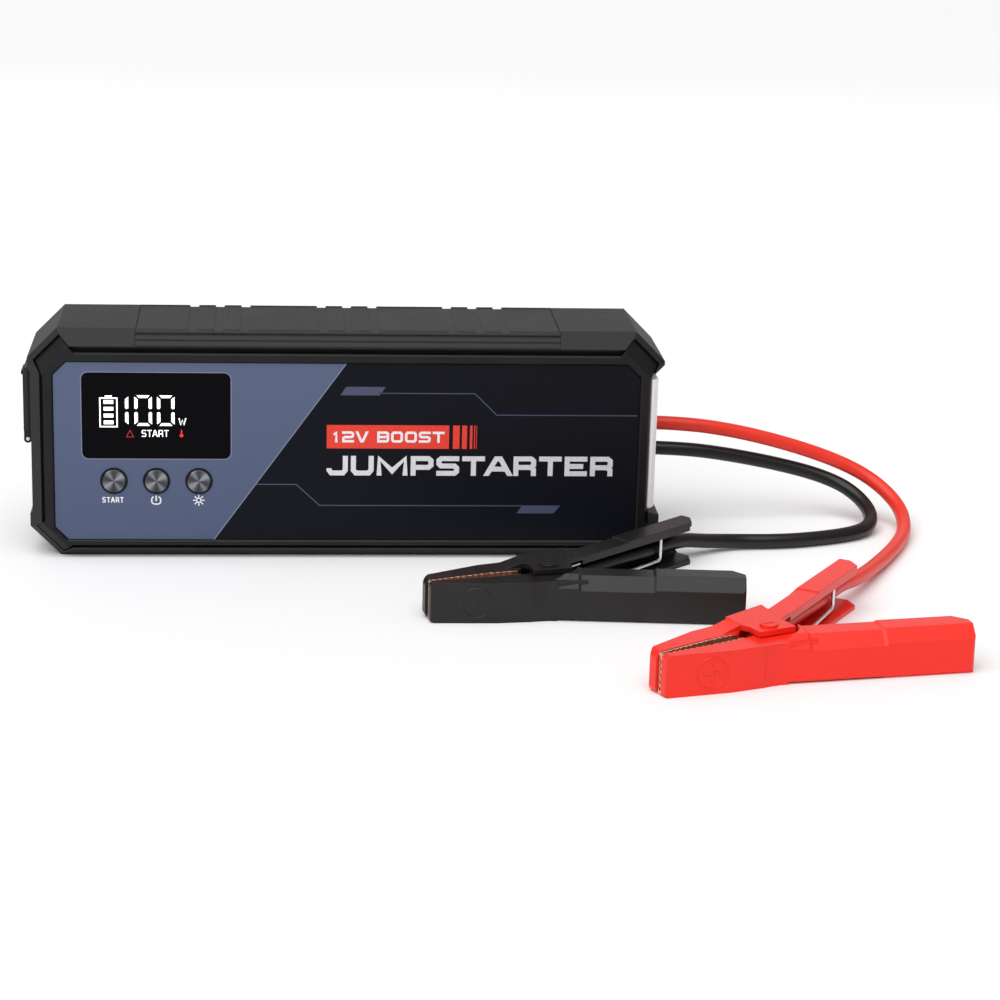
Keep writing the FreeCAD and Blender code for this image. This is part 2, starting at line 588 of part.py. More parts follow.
def wire_loop(near_point, far_point, heights, wire):
    """Wire that leaves one coil, crosses at its far end and comes back to the other coil."""
    coil = 3.9
    reach = math.hypot(far_point[0], far_point[1])
    turn = math.atan2(far_point[1], far_point[0]) + near_point * math.acos(coil / reach)
    touch = V(coil * math.cos(turn), coil * math.sin(turn), 0)
    start = touch + (V(far_point[0], far_point[1], 0) - touch).normalize() * 4.4
    low_coil, low_end, high_end, high_coil = heights
    route = [(start.x, start.y, low_coil), (*far_point, low_end), (*far_point, high_end),
             (start.x, start.y, high_coil)]
    return tube(route, wire)[0]


def make_spring():
    """Double torsion spring: two coils on the pivot, a bail in the far handle and a loop in the near one."""
    wire = 1.6
    coils = [Part.makeTorus(3.9, wire / 2, V(0, 0, z)) for z in (6.2, 7.85, 11.55, 13.2)]
    bail = wire_loop(-1, along_handle(FAR_HEEL, FAR_TURN, 66, 10.4), (6.2, 4.4, 14.0, 13.2), wire)
    near = along_handle(NEAR_HEEL, NEAR_TURN, 27, 3.3)
    loop = wire_loop(-1, (near[0], -near[1]), (7.85, 7.6, 11.8, 11.55), wire)
    return coils + [bail, loop]


def make_lug():
    """Crimped barrel that ends the cable inside the far handle, with its flat palm."""
    barrel = rod((1, 5.8, 8.5), (10, 5.8, 8.5), 3.2)
    palm = box(-5, 1.5, 2.9, 4.1, 5, 12)
    return on_handle(join(barrel, palm), FAR_HEEL, FAR_TURN)


def place(shape, spot):
    x, y, heading = spot
    moved = shape.copy()
    moved.rotate(V(0, 0, 0), V(0, 0, 1), heading)
    moved.translate(V(x, y, 0))
    return moved


def place_point(point, spot):
    x, y, heading = spot
    angle = math.radians(heading)
    return (x + point[0] * math.cos(angle) - point[1] * math.sin(angle),
            y + point[0] * math.sin(angle) + point[1] * math.cos(angle), point[2])


# ---------------------------------------------------------------- cable routes
# Each cable leaves its boot behind the box, sags to the floor beside it, comes round to the front and
# runs up the channel of its clamp's far handle to the lug.
FREE_ROUTE = {
    "red": [(122.5, 37.0, 43.2), (148.0, 37.0, 43.2), (179.0, 38.6, 38.2), (212.0, 39.5, 28.8),
            (234.5, 37.0, 19.4), (247.0, 24.0, 9.5), (246.0, 3.0, 3.7), (236.0, -22.0, 3.3),
            (222.0, -50.0, 4.2), (208.0, -77.0, 6.6)],
    "black": [(122.5, 37.0, 31.6), (148.0, 37.0, 31.6), (177.0, 39.6, 27.0), (206.0, 40.4, 20.6),
              (222.5, 37.1, 15.3), (230.6, 29.0, 10.4), (233.5, 18.0, 6.4), (230.6, 7.0, 4.1),
              (222.5, -1.1, 3.3), (206.0, -8.5, 3.2), (187.0, -13.5, 3.3), (166.0, -14.2, 3.6),
              (152.5, -21.6, 5.8)],
}
CHANNEL_ROUTE = [(84.0, 6.0, 8.8), (60.0, 6.2, 8.0), (34.0, 5.8, 8.5), (10.0, 5.8, 8.5)]


def cable_route(colour):
    inside = []
    for distance, depth, z in CHANNEL_ROUTE:
        x, y = along_handle(FAR_HEEL, FAR_TURN, distance, depth)
        inside.append(place_point((x, y, z), CLAMP_PLACE[colour]))
    return FREE_ROUTE[colour] + inside


# ---------------------------------------------------------------- build
def build_box():
    save("bumper_frame", make_bumper())
    save("top_grip_pad", make_grip_pad())
    save("front_bezel", make_bezel())
    save("front_shell", make_front_shell())
    save("rear_shell", make_rear_shell())
    save("rear_label", box(-59.8, 29.8, BACK_Y - 0.6, BACK_Y, 22.2, 47.8))
    save("label_plate", make_label_plate())
    save("display_window", make_window())
    lens = [(126.7, -27.6), (128.0, -27.6), (129.9, -24.6), (129.9, 14.2), (126.7, 14.2)]
    save("light_lens", prism_z(lens, 22.0, 78.0))


def build_buttons():
    rings = [ring((x, -27.95, BUTTON_Z), (x, PANEL_BACK_Y, BUTTON_Z), 5.6, 5.1) for x in BUTTON_X]
    save("button_rings", *rings)
    for name, x in zip(BUTTON_NAMES, BUTTON_X):
        save(name, make_button(x))
    switches = []
    for x in BUTTON_X:
        case = box(x - 3, x + 3, -23.6, -21.4, BUTTON_Z - 3, BUTTON_Z + 3)
        switches.append(join(case, rod((x, -24.9, BUTTON_Z), (x, -23.5, BUTTON_Z), 1.7)))
    save("tact_switches", *switches)


def build_electronics():
    left, right, low, high = WINDOW
    save("display_module", box(left + 2.2, right - 2.2, -26.2, -21.5, low + 2.2, high - 2.2))
    save("control_board", box(-116, -42, -21.4, -19.8, 22, 76))
    board = box(-108, -34, -5.8, -4.2, 20, 76)
    for x, z in BOARD_SPOTS:
        board = board.cut(rod((x, -6, z), (x, -4, z), 1.1))
    save("main_board", board)
    heads = [rod((x, -7.6, z), (x, -5.8, z), 2.0) for x, z in BOARD_SPOTS]
    shanks = [rod((x, -5.8, z), (x, 4.0, z), 0.95) for x, z in BOARD_SPOTS]
    save("board_screws", *[join(head, shank) for head, shank in zip(heads, shanks)])
    save("power_relay", box(-80, -48, -18.6, -5.8, 28, 52))
    save("capacitors", *[rod((x, -16.5, 62), (x, -5.8, 62), 4.0) for x in (-96, -86, -76)])
    for index in range(4):
        y = -19.2 + 10.6 * index
        save("battery_cell_%d" % (index + 1), rounded_block(-28, 91.8, y, y + 10.0, 18.2, 75.8, 2.0, "x"))
    pads = [box(-20, 84, -9.2 + 10.6 * n, -8.6 + 10.6 * n, 26, 70) for n in range(3)]
    save("battery_foam", *pads, box(-20, 84, 22.6, 24.1, 26, 70))
    for node, z0, z1 in (("busbar_positive", 39.8, 46.6), ("busbar_negative", 28.2, 35.0)):
        save(node, join(box(92, 93.5, -18, 22, z0 - 3, z1), box(93.5, 112, 12.9, 14.9, z0, z1)))
    save("light_board", box(121, 122.4, -18, 10, 26, 74))
    save("light_leds", *[box(122.4, 123.9, -6, -2, 28 + 8 * n, 32 + 8 * n) for n in range(6)])


def build_ports():
    save("port_panel", make_port_panel())
    save("usb_a_port", make_usb_port(6.6, 70.5, 5.8, 1.9))
    save("usb_c_port", make_usb_port(4.6, 58.0, 3.4, 0.8))
    save("port_board", box(-114.9, -113.3, -12, 12, 52, 75))
    save("port_cover", make_port_cover())
    save("port_hinge_pin", rod((-133.6, -13.6, 47.6), (-133.6, 13.6, 47.6), 0.8))


def build_screws():
    screws = []
    for x, z in SCREW_SPOTS:
        head = rod((x, 23.4, z), (x, 25.6, z), 2.8)
        across = box(x - 1.6, x + 1.6, 24.4, 26, z - 0.35, z + 0.35)
        cross = join(across, box(x - 0.35, x + 0.35, 24.4, 26, z - 1.6, z + 1.6))
        screws.append(join(head.cut(cross), rod((x, -14, z), (x, 23.5, z), 1.3)))
    save("case_screws", *screws)


def build_lead():
    save("output_socket", make_socket())
    save("socket_contacts", *[make_contact(z) for z in PIN_Z.values()])
    save("plug_housing", make_plug())
    save("plug_pins", *[rod((PLUG_X, 16.2, z), (PLUG_X, 34, z), PIN_R) for z in PIN_Z.values()])
    save("cable_boots", *[make_boot(z) for z in PIN_Z.values()])


def build_clamp(colour):
    spot = CLAMP_PLACE[colour]
    plus = colour == "red"
    nodes = {
        "far_lever": [add_badge(make_far_lever(), FAR_SIDE, plus)],
        "near_lever": [add_badge(make_near_lever(), NEAR_SIDE, plus)],
        "far_jaw": [make_jaw(FAR_SIDE)],
        "near_jaw": [mirror_y(make_jaw(NEAR_SIDE))],
        "pivot_pin": [make_pivot()],
        "spring": make_spring(),
        "cable_lug": [make_lug()],
    }
    for name, shapes in nodes.items():
        save("%s_%s" % (colour, name), *[place(shape, spot) for shape in shapes])
    route = cable_route(colour)
    print(colour, [tuple(round(c, 1) for c in p) for p in route])
    save("%s_cable" % colour, tube(route, CABLE_D)[0])


os.makedirs("parts", exist_ok=True)
build_box()
build_buttons()
build_electronics()
build_ports()
build_screws()
build_lead()
build_clamp("black")
build_clamp("red")
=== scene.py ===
"""Jump starter pack with a clamp lead: finishes, fine detail, floor, light and camera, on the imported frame."""
import json
import logging
import math
from dataclasses import dataclass, field
from enum import Enum
from typing import Any, Iterable, Sequence

import bmesh
import bpy
from mathutils import Matrix, Vector

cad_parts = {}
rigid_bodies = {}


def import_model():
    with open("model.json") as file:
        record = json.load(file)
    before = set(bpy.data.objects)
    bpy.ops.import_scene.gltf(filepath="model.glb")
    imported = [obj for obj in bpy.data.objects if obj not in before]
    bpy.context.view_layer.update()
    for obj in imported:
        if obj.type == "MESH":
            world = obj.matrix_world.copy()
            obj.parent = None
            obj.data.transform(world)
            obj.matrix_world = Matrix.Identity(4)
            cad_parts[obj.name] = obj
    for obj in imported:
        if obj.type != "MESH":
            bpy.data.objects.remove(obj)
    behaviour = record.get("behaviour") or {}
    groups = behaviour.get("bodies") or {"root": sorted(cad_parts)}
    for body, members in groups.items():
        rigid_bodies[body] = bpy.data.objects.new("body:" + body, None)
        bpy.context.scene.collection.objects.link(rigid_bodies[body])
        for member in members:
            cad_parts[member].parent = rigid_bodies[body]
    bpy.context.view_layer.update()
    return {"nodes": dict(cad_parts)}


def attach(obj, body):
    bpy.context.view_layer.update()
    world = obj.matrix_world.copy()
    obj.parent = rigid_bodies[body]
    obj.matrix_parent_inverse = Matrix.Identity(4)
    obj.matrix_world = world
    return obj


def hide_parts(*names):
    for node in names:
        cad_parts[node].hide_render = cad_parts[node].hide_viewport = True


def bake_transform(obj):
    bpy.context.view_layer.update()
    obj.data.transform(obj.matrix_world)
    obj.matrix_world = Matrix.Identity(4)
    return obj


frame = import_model()
NODES: dict[str, bpy.types.Object] = frame["nodes"]
LOG = logging.getLogger("jump_starter")

Colour = tuple[float, float, float]
Point2 = tuple[float, float]
Point3 = tuple[float, float, float]
MM = 0.001
SAME_POINT = 1e-6  # metres: nearer vertices are one
ROUNDED_FROM = 25  # degrees between faces: a softened piece's edges are rounded from here
SHARP_FROM = 50  # degrees between faces: its shading breaks from here


def dimmed(colour: Colour, share: float) -> Colour:
    """A share of a colour."""
    return tuple(part * share for part in colour)


class Body(str, Enum):
    """The rigid bodies that pieces ride on."""

    PACK = "pack"
    PLUG = "plug"
    COVER = "cover"
    BLACK_JAW = "black_jaw"
    RED_JAW = "red_jaw"


class ClampColour(str, Enum):
    """Which of the two clamps a piece belongs to."""

    BLACK = "black"
    RED = "red"


# ---------------------------------------------------------------- shader graphs
class Wire:
    """A value or colour leaving a shader node, usable in plain arithmetic."""

    def __init__(self, graph: "Graph", socket: bpy.types.NodeSocket) -> None:
        """Keeps the graph and the socket."""
        self.graph = graph
        self.socket = socket

    def maths(self, operation: str, *others: "Wire | float", swapped: bool = False) -> "Wire":
        """Adds one Math node.

        Args:
            operation: the Math node's operation.
            others: further operands, wires or numbers.
            swapped: whether the first other operand comes before this one.

        Returns:
            The node's result.
        """
        values = [self, *others]
        if swapped:
            values[0], values[1] = values[1], values[0]
        return self.graph.node("ShaderNodeMath", {"operation": operation}, dict(enumerate(values)))

    def __add__(self, other: "Wire | float") -> "Wire":
        """Sum."""
        return self.maths("ADD", other)

    __radd__ = __add__

    def __sub__(self, other: "Wire | float") -> "Wire":
        """Difference."""
        return self.maths("SUBTRACT", other)

    def __rsub__(self, other: "Wire | float") -> "Wire":
        """Difference from a number."""
        return self.maths("SUBTRACT", other, swapped=True)

    def __mul__(self, other: "Wire | float") -> "Wire":
        """Product."""
        return self.maths("MULTIPLY", other)

    __rmul__ = __mul__

    def __truediv__(self, other: "Wire | float") -> "Wire":
        """Quotient."""
        return self.maths("DIVIDE", other)

    def __pow__(self, other: "Wire | float") -> "Wire":
        """Power."""
        return self.maths("POWER", other)

    def clamped(self) -> "Wire":
        """This, held between zero and one."""
        return self.graph.node("ShaderNodeClamp", {}, {0: self, 1: 0.0, 2: 1.0})

    def eased(self, low: float, high: float) -> "Wire":
        """Zero below low, one above high, smooth between them."""
        settings = {"interpolation_type": "SMOOTHSTEP"}
        return self.graph.node("ShaderNodeMapRange", settings, {0: self, 1: low, 2: high, 3: 0.0, 4: 1.0})


class Graph:
    """The node graph of one material."""

    def __init__(self, material: bpy.types.Material) -> None:
        """Clears the material's nodes.

        Args:
            material: the material to fill.
        """
        material.use_nodes = True
        self.tree = material.node_tree
        self.tree.nodes.clear()

    def node(self, kind: str, settings: dict[str, Any] | None = None, inputs: dict[Any, Any] | None = None,
             output: int | str = 0) -> Wire:
        """Adds a node of any type.

        Args:
            kind: the node's type name.
            settings: properties set before the sockets; "stops" fills a colour ramp.
            inputs: values or wires for its sockets, by index or name.
            output: the socket that is returned.

        Returns:
            The chosen output.
        """
        made = self.tree.nodes.new(kind)
        for key, value in (settings or {}).items():
            if key == "stops":
                ramp = made.color_ramp
                while len(ramp.elements) < len(value):
                    ramp.elements.new(0.5)
                for element, (place, colour) in zip(ramp.elements, value):
                    element.position = place
                    element.color = (*colour, 1.0)
            else:
                setattr(made, key, value)
        for key, value in (inputs or {}).items():
            if isinstance(value, Wire):
                self.tree.links.new(value.socket, made.inputs[key])
            elif isinstance(value, tuple) and len(value) == 3 and made.inputs[key].type == "RGBA":
                made.inputs[key].default_value = (*value, 1.0)
            else:
                made.inputs[key].default_value = value
        return Wire(self, made.outputs[output])

    def place(self, centre: Point3 | None = None) -> Wire:
        """Object coordinates, counted from a point if one is given."""
        where = self.node("ShaderNodeTexCoord", output="Object")
        if centre is None:
            return where
        return self.node("ShaderNodeVectorMath", {"operation": "SUBTRACT"}, {0: where, 1: centre})

    def axes(self, where: Wire) -> tuple[Wire, Wire, Wire]:
        """The three parts of a vector."""
        split = self.node("ShaderNodeSeparateXYZ", {}, {0: where})
        node = split.socket.node
        return split, Wire(self, node.outputs[1]), Wire(self, node.outputs[2])

    def noise(self, where: Wire, scale: float, detail: float = 2.0, rough: float = 0.5) -> Wire:
        """Fractal noise from zero to one."""
        return self.node("ShaderNodeTexNoise", {"noise_dimensions": "3D"},
                         {"Vector": where, "Scale": scale, "Detail": detail, "Roughness": rough})

    def blend(self, factor: "Wire | float", first: "Wire | Colour", second: "Wire | Colour",
              mode: str = "MIX") -> Wire:
        """Mixes two colours."""
        settings = {"data_type": "RGBA", "blend_type": mode, "clamp_factor": True}
        return self.node("ShaderNodeMix", settings, {0: factor, 6: first, 7: second}, output=2)

    def rounding(self, radius: float) -> Wire:
        """Normal that is rounded over edges within a radius."""
        return self.node("ShaderNodeBevel", {"samples": 6}, {0: radius})

    def edge(self, rounded: Wire, gain: float) -> Wire:
        """How far the rounded normal leaves the face's own, zero to one."""
        own = self.node("ShaderNodeNewGeometry", output="Normal")
        same = self.node("ShaderNodeVectorMath", {"operation": "DOT_PRODUCT"}, {0: rounded, 1: own}, output="Value")
        return ((1.0 - same) * gain).clamped()

    def bump(self, height: Wire, depth: float, normal: Wire | None = None) -> Wire:
        """Bump of a depth in metres, over another normal if one is given."""
        inputs: dict[Any, Any] = {"Height": height, "Distance": depth, "Strength": 1.0}
        if normal is not None:
            inputs["Normal"] = normal
        return self.node("ShaderNodeBump", {}, inputs)

    def finish(self, **sockets: Any) -> None:
        """Adds the shader and the output.

        Args:
            sockets: values or wires for the shader, with underscores for the spaces in its sockets' names.
        """
        named = {key.replace("_", " "): value for key, value in sockets.items()}
        shader = self.node("ShaderNodeBsdfPrincipled", {}, named)
        output = self.tree.nodes.new("ShaderNodeOutputMaterial")
        self.tree.links.new(shader.socket, output.inputs[0])


# ---------------------------------------------------------------- finishes
@dataclass(frozen=True)
class Finish:
    """A surface finish; one material is made for it when it is first used."""

    name: str

    def paint(self, graph: Graph) -> None:
        """Fills the material's graph."""
        raise NotImplementedError

    def material(self) -> bpy.types.Material:
        """The finish's material, made once."""
        found = bpy.data.materials.get(self.name + "_finish")
        if found is None:
            found = bpy.data.materials.new(self.name + "_finish")
            self.paint(Graph(found))
        return found


@dataclass(frozen=True)
class Moulded(Finish):
    """Moulded rubber or plastic: soft mottling, a fine tooled grain, and edges worn smoother, with a patchy painted
    highlight along them.
    """

    colour: Colour
    lift: float = 1.25
    rough: float = 0.5
    rough_swing: float = 0.10
    grain: float = 2600.0
    depth: float = 0.00003
    edge_radius: float = 0.0006
    # painted highlight: how much lighter the colour is made along the edges
    edge_highlight_gain: float = 1.6
    patch: float = 45.0
    coat: float = 0.0
    specular: float = 0.5

    def paint(self, graph: Graph) -> None:
        """Fills the material's graph."""
        where = graph.place()
        patch = graph.noise(where, self.patch, 4.0, 0.6)
        grain = graph.noise(where, self.grain, 2.0, 0.6)
        # patches of real scuffing in the roughness, which also make the painted edge highlight patchy
        scuff_and_highlight_patch = graph.noise(where, self.patch * 9, 5.0, 0.7).eased(0.52, 0.75)
        rounded = graph.rounding(self.edge_radius)
        edge = graph.edge(rounded, 3.0)
        light = tuple(min(1.0, c * self.lift + 0.002) for c in self.colour)
        # painted highlight: a lighter colour laid along the edges, stronger in patches
        edge_highlight_colour = tuple(min(1.0, c * self.edge_highlight_gain + 0.01) for c in self.colour)
        base = graph.blend(patch.eased(0.3, 0.7), self.colour, light)
        base = graph.blend(edge * (0.35 + 0.5 * scuff_and_highlight_patch), base, edge_highlight_colour)
        rough = (patch - 0.5) * self.rough_swing * 2 + self.rough + scuff_and_highlight_patch * 0.05 - edge * 0.12
        normal = graph.bump(grain, self.depth, rounded)
        graph.finish(Base_Color=base, Roughness=rough.clamped(), Normal=normal, Coat_Weight=self.coat,
                     Coat_Roughness=0.15, Specular_IOR_Level=self.specular)


@dataclass(frozen=True)
class Printed(Finish):
    """Ink under a satin film, with the film's faint orange peel, and painted shade that darkens it towards the bottom.
    """

    colour: Colour
    shade: Colour
    rough: float = 0.32
    height: float = 0.0975

    def paint(self, graph: Graph) -> None:
        """Fills the material's graph."""
        where = graph.place()
        peel = graph.noise(where, 420.0, 2.0)
        cloud = graph.noise(where, 9.0, 3.0, 0.55)
        _, _, high = graph.axes(where)
        # painted shade: the colour darkens to the shade colour towards the bottom
        fall = (high / self.height).clamped()
        base = graph.blend(fall, self.shade, self.colour)
        base = graph.blend(cloud.eased(0.35, 0.7) * 0.35, base, self.shade)
        rough = peel * 0.06 + cloud * 0.08 + (self.rough - 0.05)
        graph.finish(Base_Color=base, Roughness=rough, Normal=graph.bump(peel, 0.000012),
                     Specular_IOR_Level=0.08)


@dataclass(frozen=True)
class Ink(Finish):
    """Screen-printed ink, very slightly uneven."""

    colour: Colour
    rough: float = 0.4
    metal: float = 0.0

    def paint(self, graph: Graph) -> None:
        """Fills the material's graph."""
        where = graph.place()
        speck = graph.noise(where, 900.0, 3.0, 0.7)
        base = graph.blend(speck.eased(0.3, 0.6), dimmed(self.colour, 0.86), self.colour)
        graph.finish(Base_Color=base, Metallic=self.metal,
                     Roughness=speck * 0.1 + (self.rough - 0.05), Normal=graph.bump(speck, 0.000004))


@dataclass(frozen=True)
class Glowing(Finish):
    """Lit display segment: brighter in the middle of its light guide."""
    # Lit display segment, with a slight random unevenness in brightness.

    colour: Colour
    power: float = 1.3

    def paint(self, graph: Graph) -> None:
        """Fills the material's graph."""
        where = graph.place()
        cell = graph.noise(where, 300.0, 1.0)
        lit = graph.blend(cell, dimmed(self.colour, 0.8), self.colour)
        graph.finish(Base_Color=lit, Roughness=0.4, Emission_Color=lit, Emission_Strength=self.power)


@dataclass(frozen=True)
class BlackGlass(Finish):
    """Gloss black window with a faint smear."""

    colour: Colour = (0.0015, 0.0015, 0.002)

    def paint(self, graph: Graph) -> None:
        """Fills the material's graph."""
        where = graph.place()
        smear = graph.noise(where, 30.0, 5.0, 0.6)
        graph.finish(Base_Color=graph.blend(smear, self.colour, (0.004, 0.004, 0.006)),
                     Roughness=smear.eased(0.4, 0.8) * 0.05 + 0.06, Specular_IOR_Level=0.035, IOR=1.48)


@dataclass(frozen=True)
class BrushedCap(Finish):
    """Metal cap turned on a lathe: fine rings, and painted highlights in the crossed wedges of light that such rings
    throw.
    """

    centre: Point3
    colour: Colour = (0.055, 0.056, 0.065)

    def paint(self, graph: Graph) -> None:
        """Fills the material's graph."""
        where = graph.place(self.centre)
        across, _, up = graph.axes(where)
        angle = up.maths("ARCTAN2", across)
        radius = (across * across + up * up).maths("SQRT")
        rings = graph.noise(graph.node("ShaderNodeCombineXYZ", {}, {0: radius, 1: 0.0, 2: 0.0}), 6500.0, 2.0)
        # painted highlight: crossed wedges of light by angle round the centre, laid into the base colour
        highlight_wedge = ((angle * 2.0 - 1.25).maths("COSINE") * 0.5 + 0.5) ** 5.0
        thin_highlight = ((angle * 2.0 + 1.9).maths("COSINE") * 0.5 + 0.5) ** 12.0
        light = (highlight_wedge * 0.75 + thin_highlight * 0.5) * (0.65 + rings * 0.5)
        base = graph.blend(light.clamped(), self.colour, (0.42, 0.43, 0.47))
        rounded = graph.rounding(0.0003)
        graph.finish(Base_Color=base, Metallic=0.9, Roughness=rings * 0.2 + 0.22,
                     Normal=graph.bump(rings, 0.000006, rounded))


@dataclass(frozen=True)
class Metal(Finish):
    """Bare or plated metal with drawn streaks and slight tarnish."""

    colour: Colour
    tarnish: Colour
    rough: float = 0.28

    def paint(self, graph: Graph) -> None:
        """Fills the material's graph."""
        where = graph.place()
        drawn = graph.noise(where, 1800.0, 3.0, 0.6)
        stain = graph.noise(where, 160.0, 4.0, 0.6)
        rounded = graph.rounding(0.00025)
        base = graph.blend(stain.eased(0.45, 0.8), self.colour, self.tarnish)
        graph.finish(Base_Color=base, Metallic=1.0, Roughness=drawn * 0.15 + stain * 0.12 + (self.rough - 0.12),
                     Normal=graph.bump(drawn, 0.000008, rounded))


@dataclass(frozen=True)
class Silicone(Finish):
    """Soft silicone jacket: slightly waxy, with dust specks and faint lengthwise flow."""

    colour: Colour
    dusty: Colour
    rough: float = 0.38

    def paint(self, graph: Graph) -> None:
        """Fills the material's graph."""
        where = graph.place()
        flow = graph.noise(where, 55.0, 4.0, 0.6)
        speck = graph.noise(where, 1500.0, 2.0, 0.7)
        dust = speck.eased(0.66, 0.78) * 0.5
        graph.finish(Base_Color=graph.blend(dust + flow.eased(0.5, 0.8) * 0.2, self.colour, self.dusty),
                     Roughness=flow * 0.14 + speck * 0.08 + (self.rough - 0.1), Specular_IOR_Level=0.4,
                     Normal=graph.bump(speck, 0.00001))


@dataclass(frozen=True)
class Diffuser(Finish):
    """Milky light cover with fine upright prisms, made to shine faintly white by painted emission."""

    colour: Colour = (0.72, 0.71, 0.74)
    painted_glow: float = 0.14

    def paint(self, graph: Graph) -> None:
        """Fills the material's graph."""
        where = graph.place()
        _, along, _ = graph.axes(where)
        prism = (along * 3600.0).maths("SINE") * 0.5 + 0.5
        haze = graph.noise(where, 70.0, 3.0)
        base = graph.blend(haze, self.colour, dimmed(self.colour, 0.93))
        normal = graph.bump(prism, 0.00006, graph.rounding(0.0004))
        # painted light: the cover shines with its own colour, though no lamp behind it is lit
        graph.finish(Base_Color=base, Roughness=haze * 0.1 + 0.22, Normal=normal, Emission_Color=self.colour,
                     Emission_Strength=self.painted_glow, Coat_Weight=0.3)


@dataclass(frozen=True)
class CircuitBoard(Finish):
    """Green board with copper tracks under the mask."""

    colour: Colour = (0.01, 0.09, 0.035)

    def paint(self, graph: Graph) -> None:
        """Fills the material's graph."""
        where = graph.place()
        tracks = graph.node("ShaderNodeTexVoronoi", {"distance": "CHEBYCHEV", "feature": "F1"},
                            {"Vector": where, "Scale": 260.0}, output="Distance")
        mask = tracks.eased(0.38, 0.46)
        graph.finish(Base_Color=graph.blend(mask, self.colour, (0.03, 0.2, 0.08)), Roughness=0.32 + 0.1 * mask,
                     Normal=graph.bump(mask, 0.00002))


@dataclass(frozen=True)
class CellFoil(Finish):
    """Laminated foil of a pouch cell, with soft wrinkles."""

    colour: Colour = (0.62, 0.63, 0.66)

    def paint(self, graph: Graph) -> None:
        """Fills the material's graph."""
        where = graph.place()
        wrinkle = graph.noise(where, 120.0, 5.0, 0.6)
        graph.finish(Base_Color=graph.blend(wrinkle, dimmed(self.colour, 0.7), self.colour), Metallic=0.85,
                     Roughness=wrinkle * 0.2 + 0.22, Normal=graph.bump(wrinkle, 0.0002))


@dataclass(frozen=True)
class FloorFinish(Finish):
    """Plain pale studio floor."""

    colour: Colour = (0.93, 0.93, 0.935)

    def paint(self, graph: Graph) -> None:
        """Fills the material's graph."""
        faint = graph.noise(graph.place(), 3.0, 2.0)
        base = graph.blend(faint, self.colour, dimmed(self.colour, 0.99))
        graph.finish(Base_Color=base, Roughness=0.6, Specular_IOR_Level=0.2)


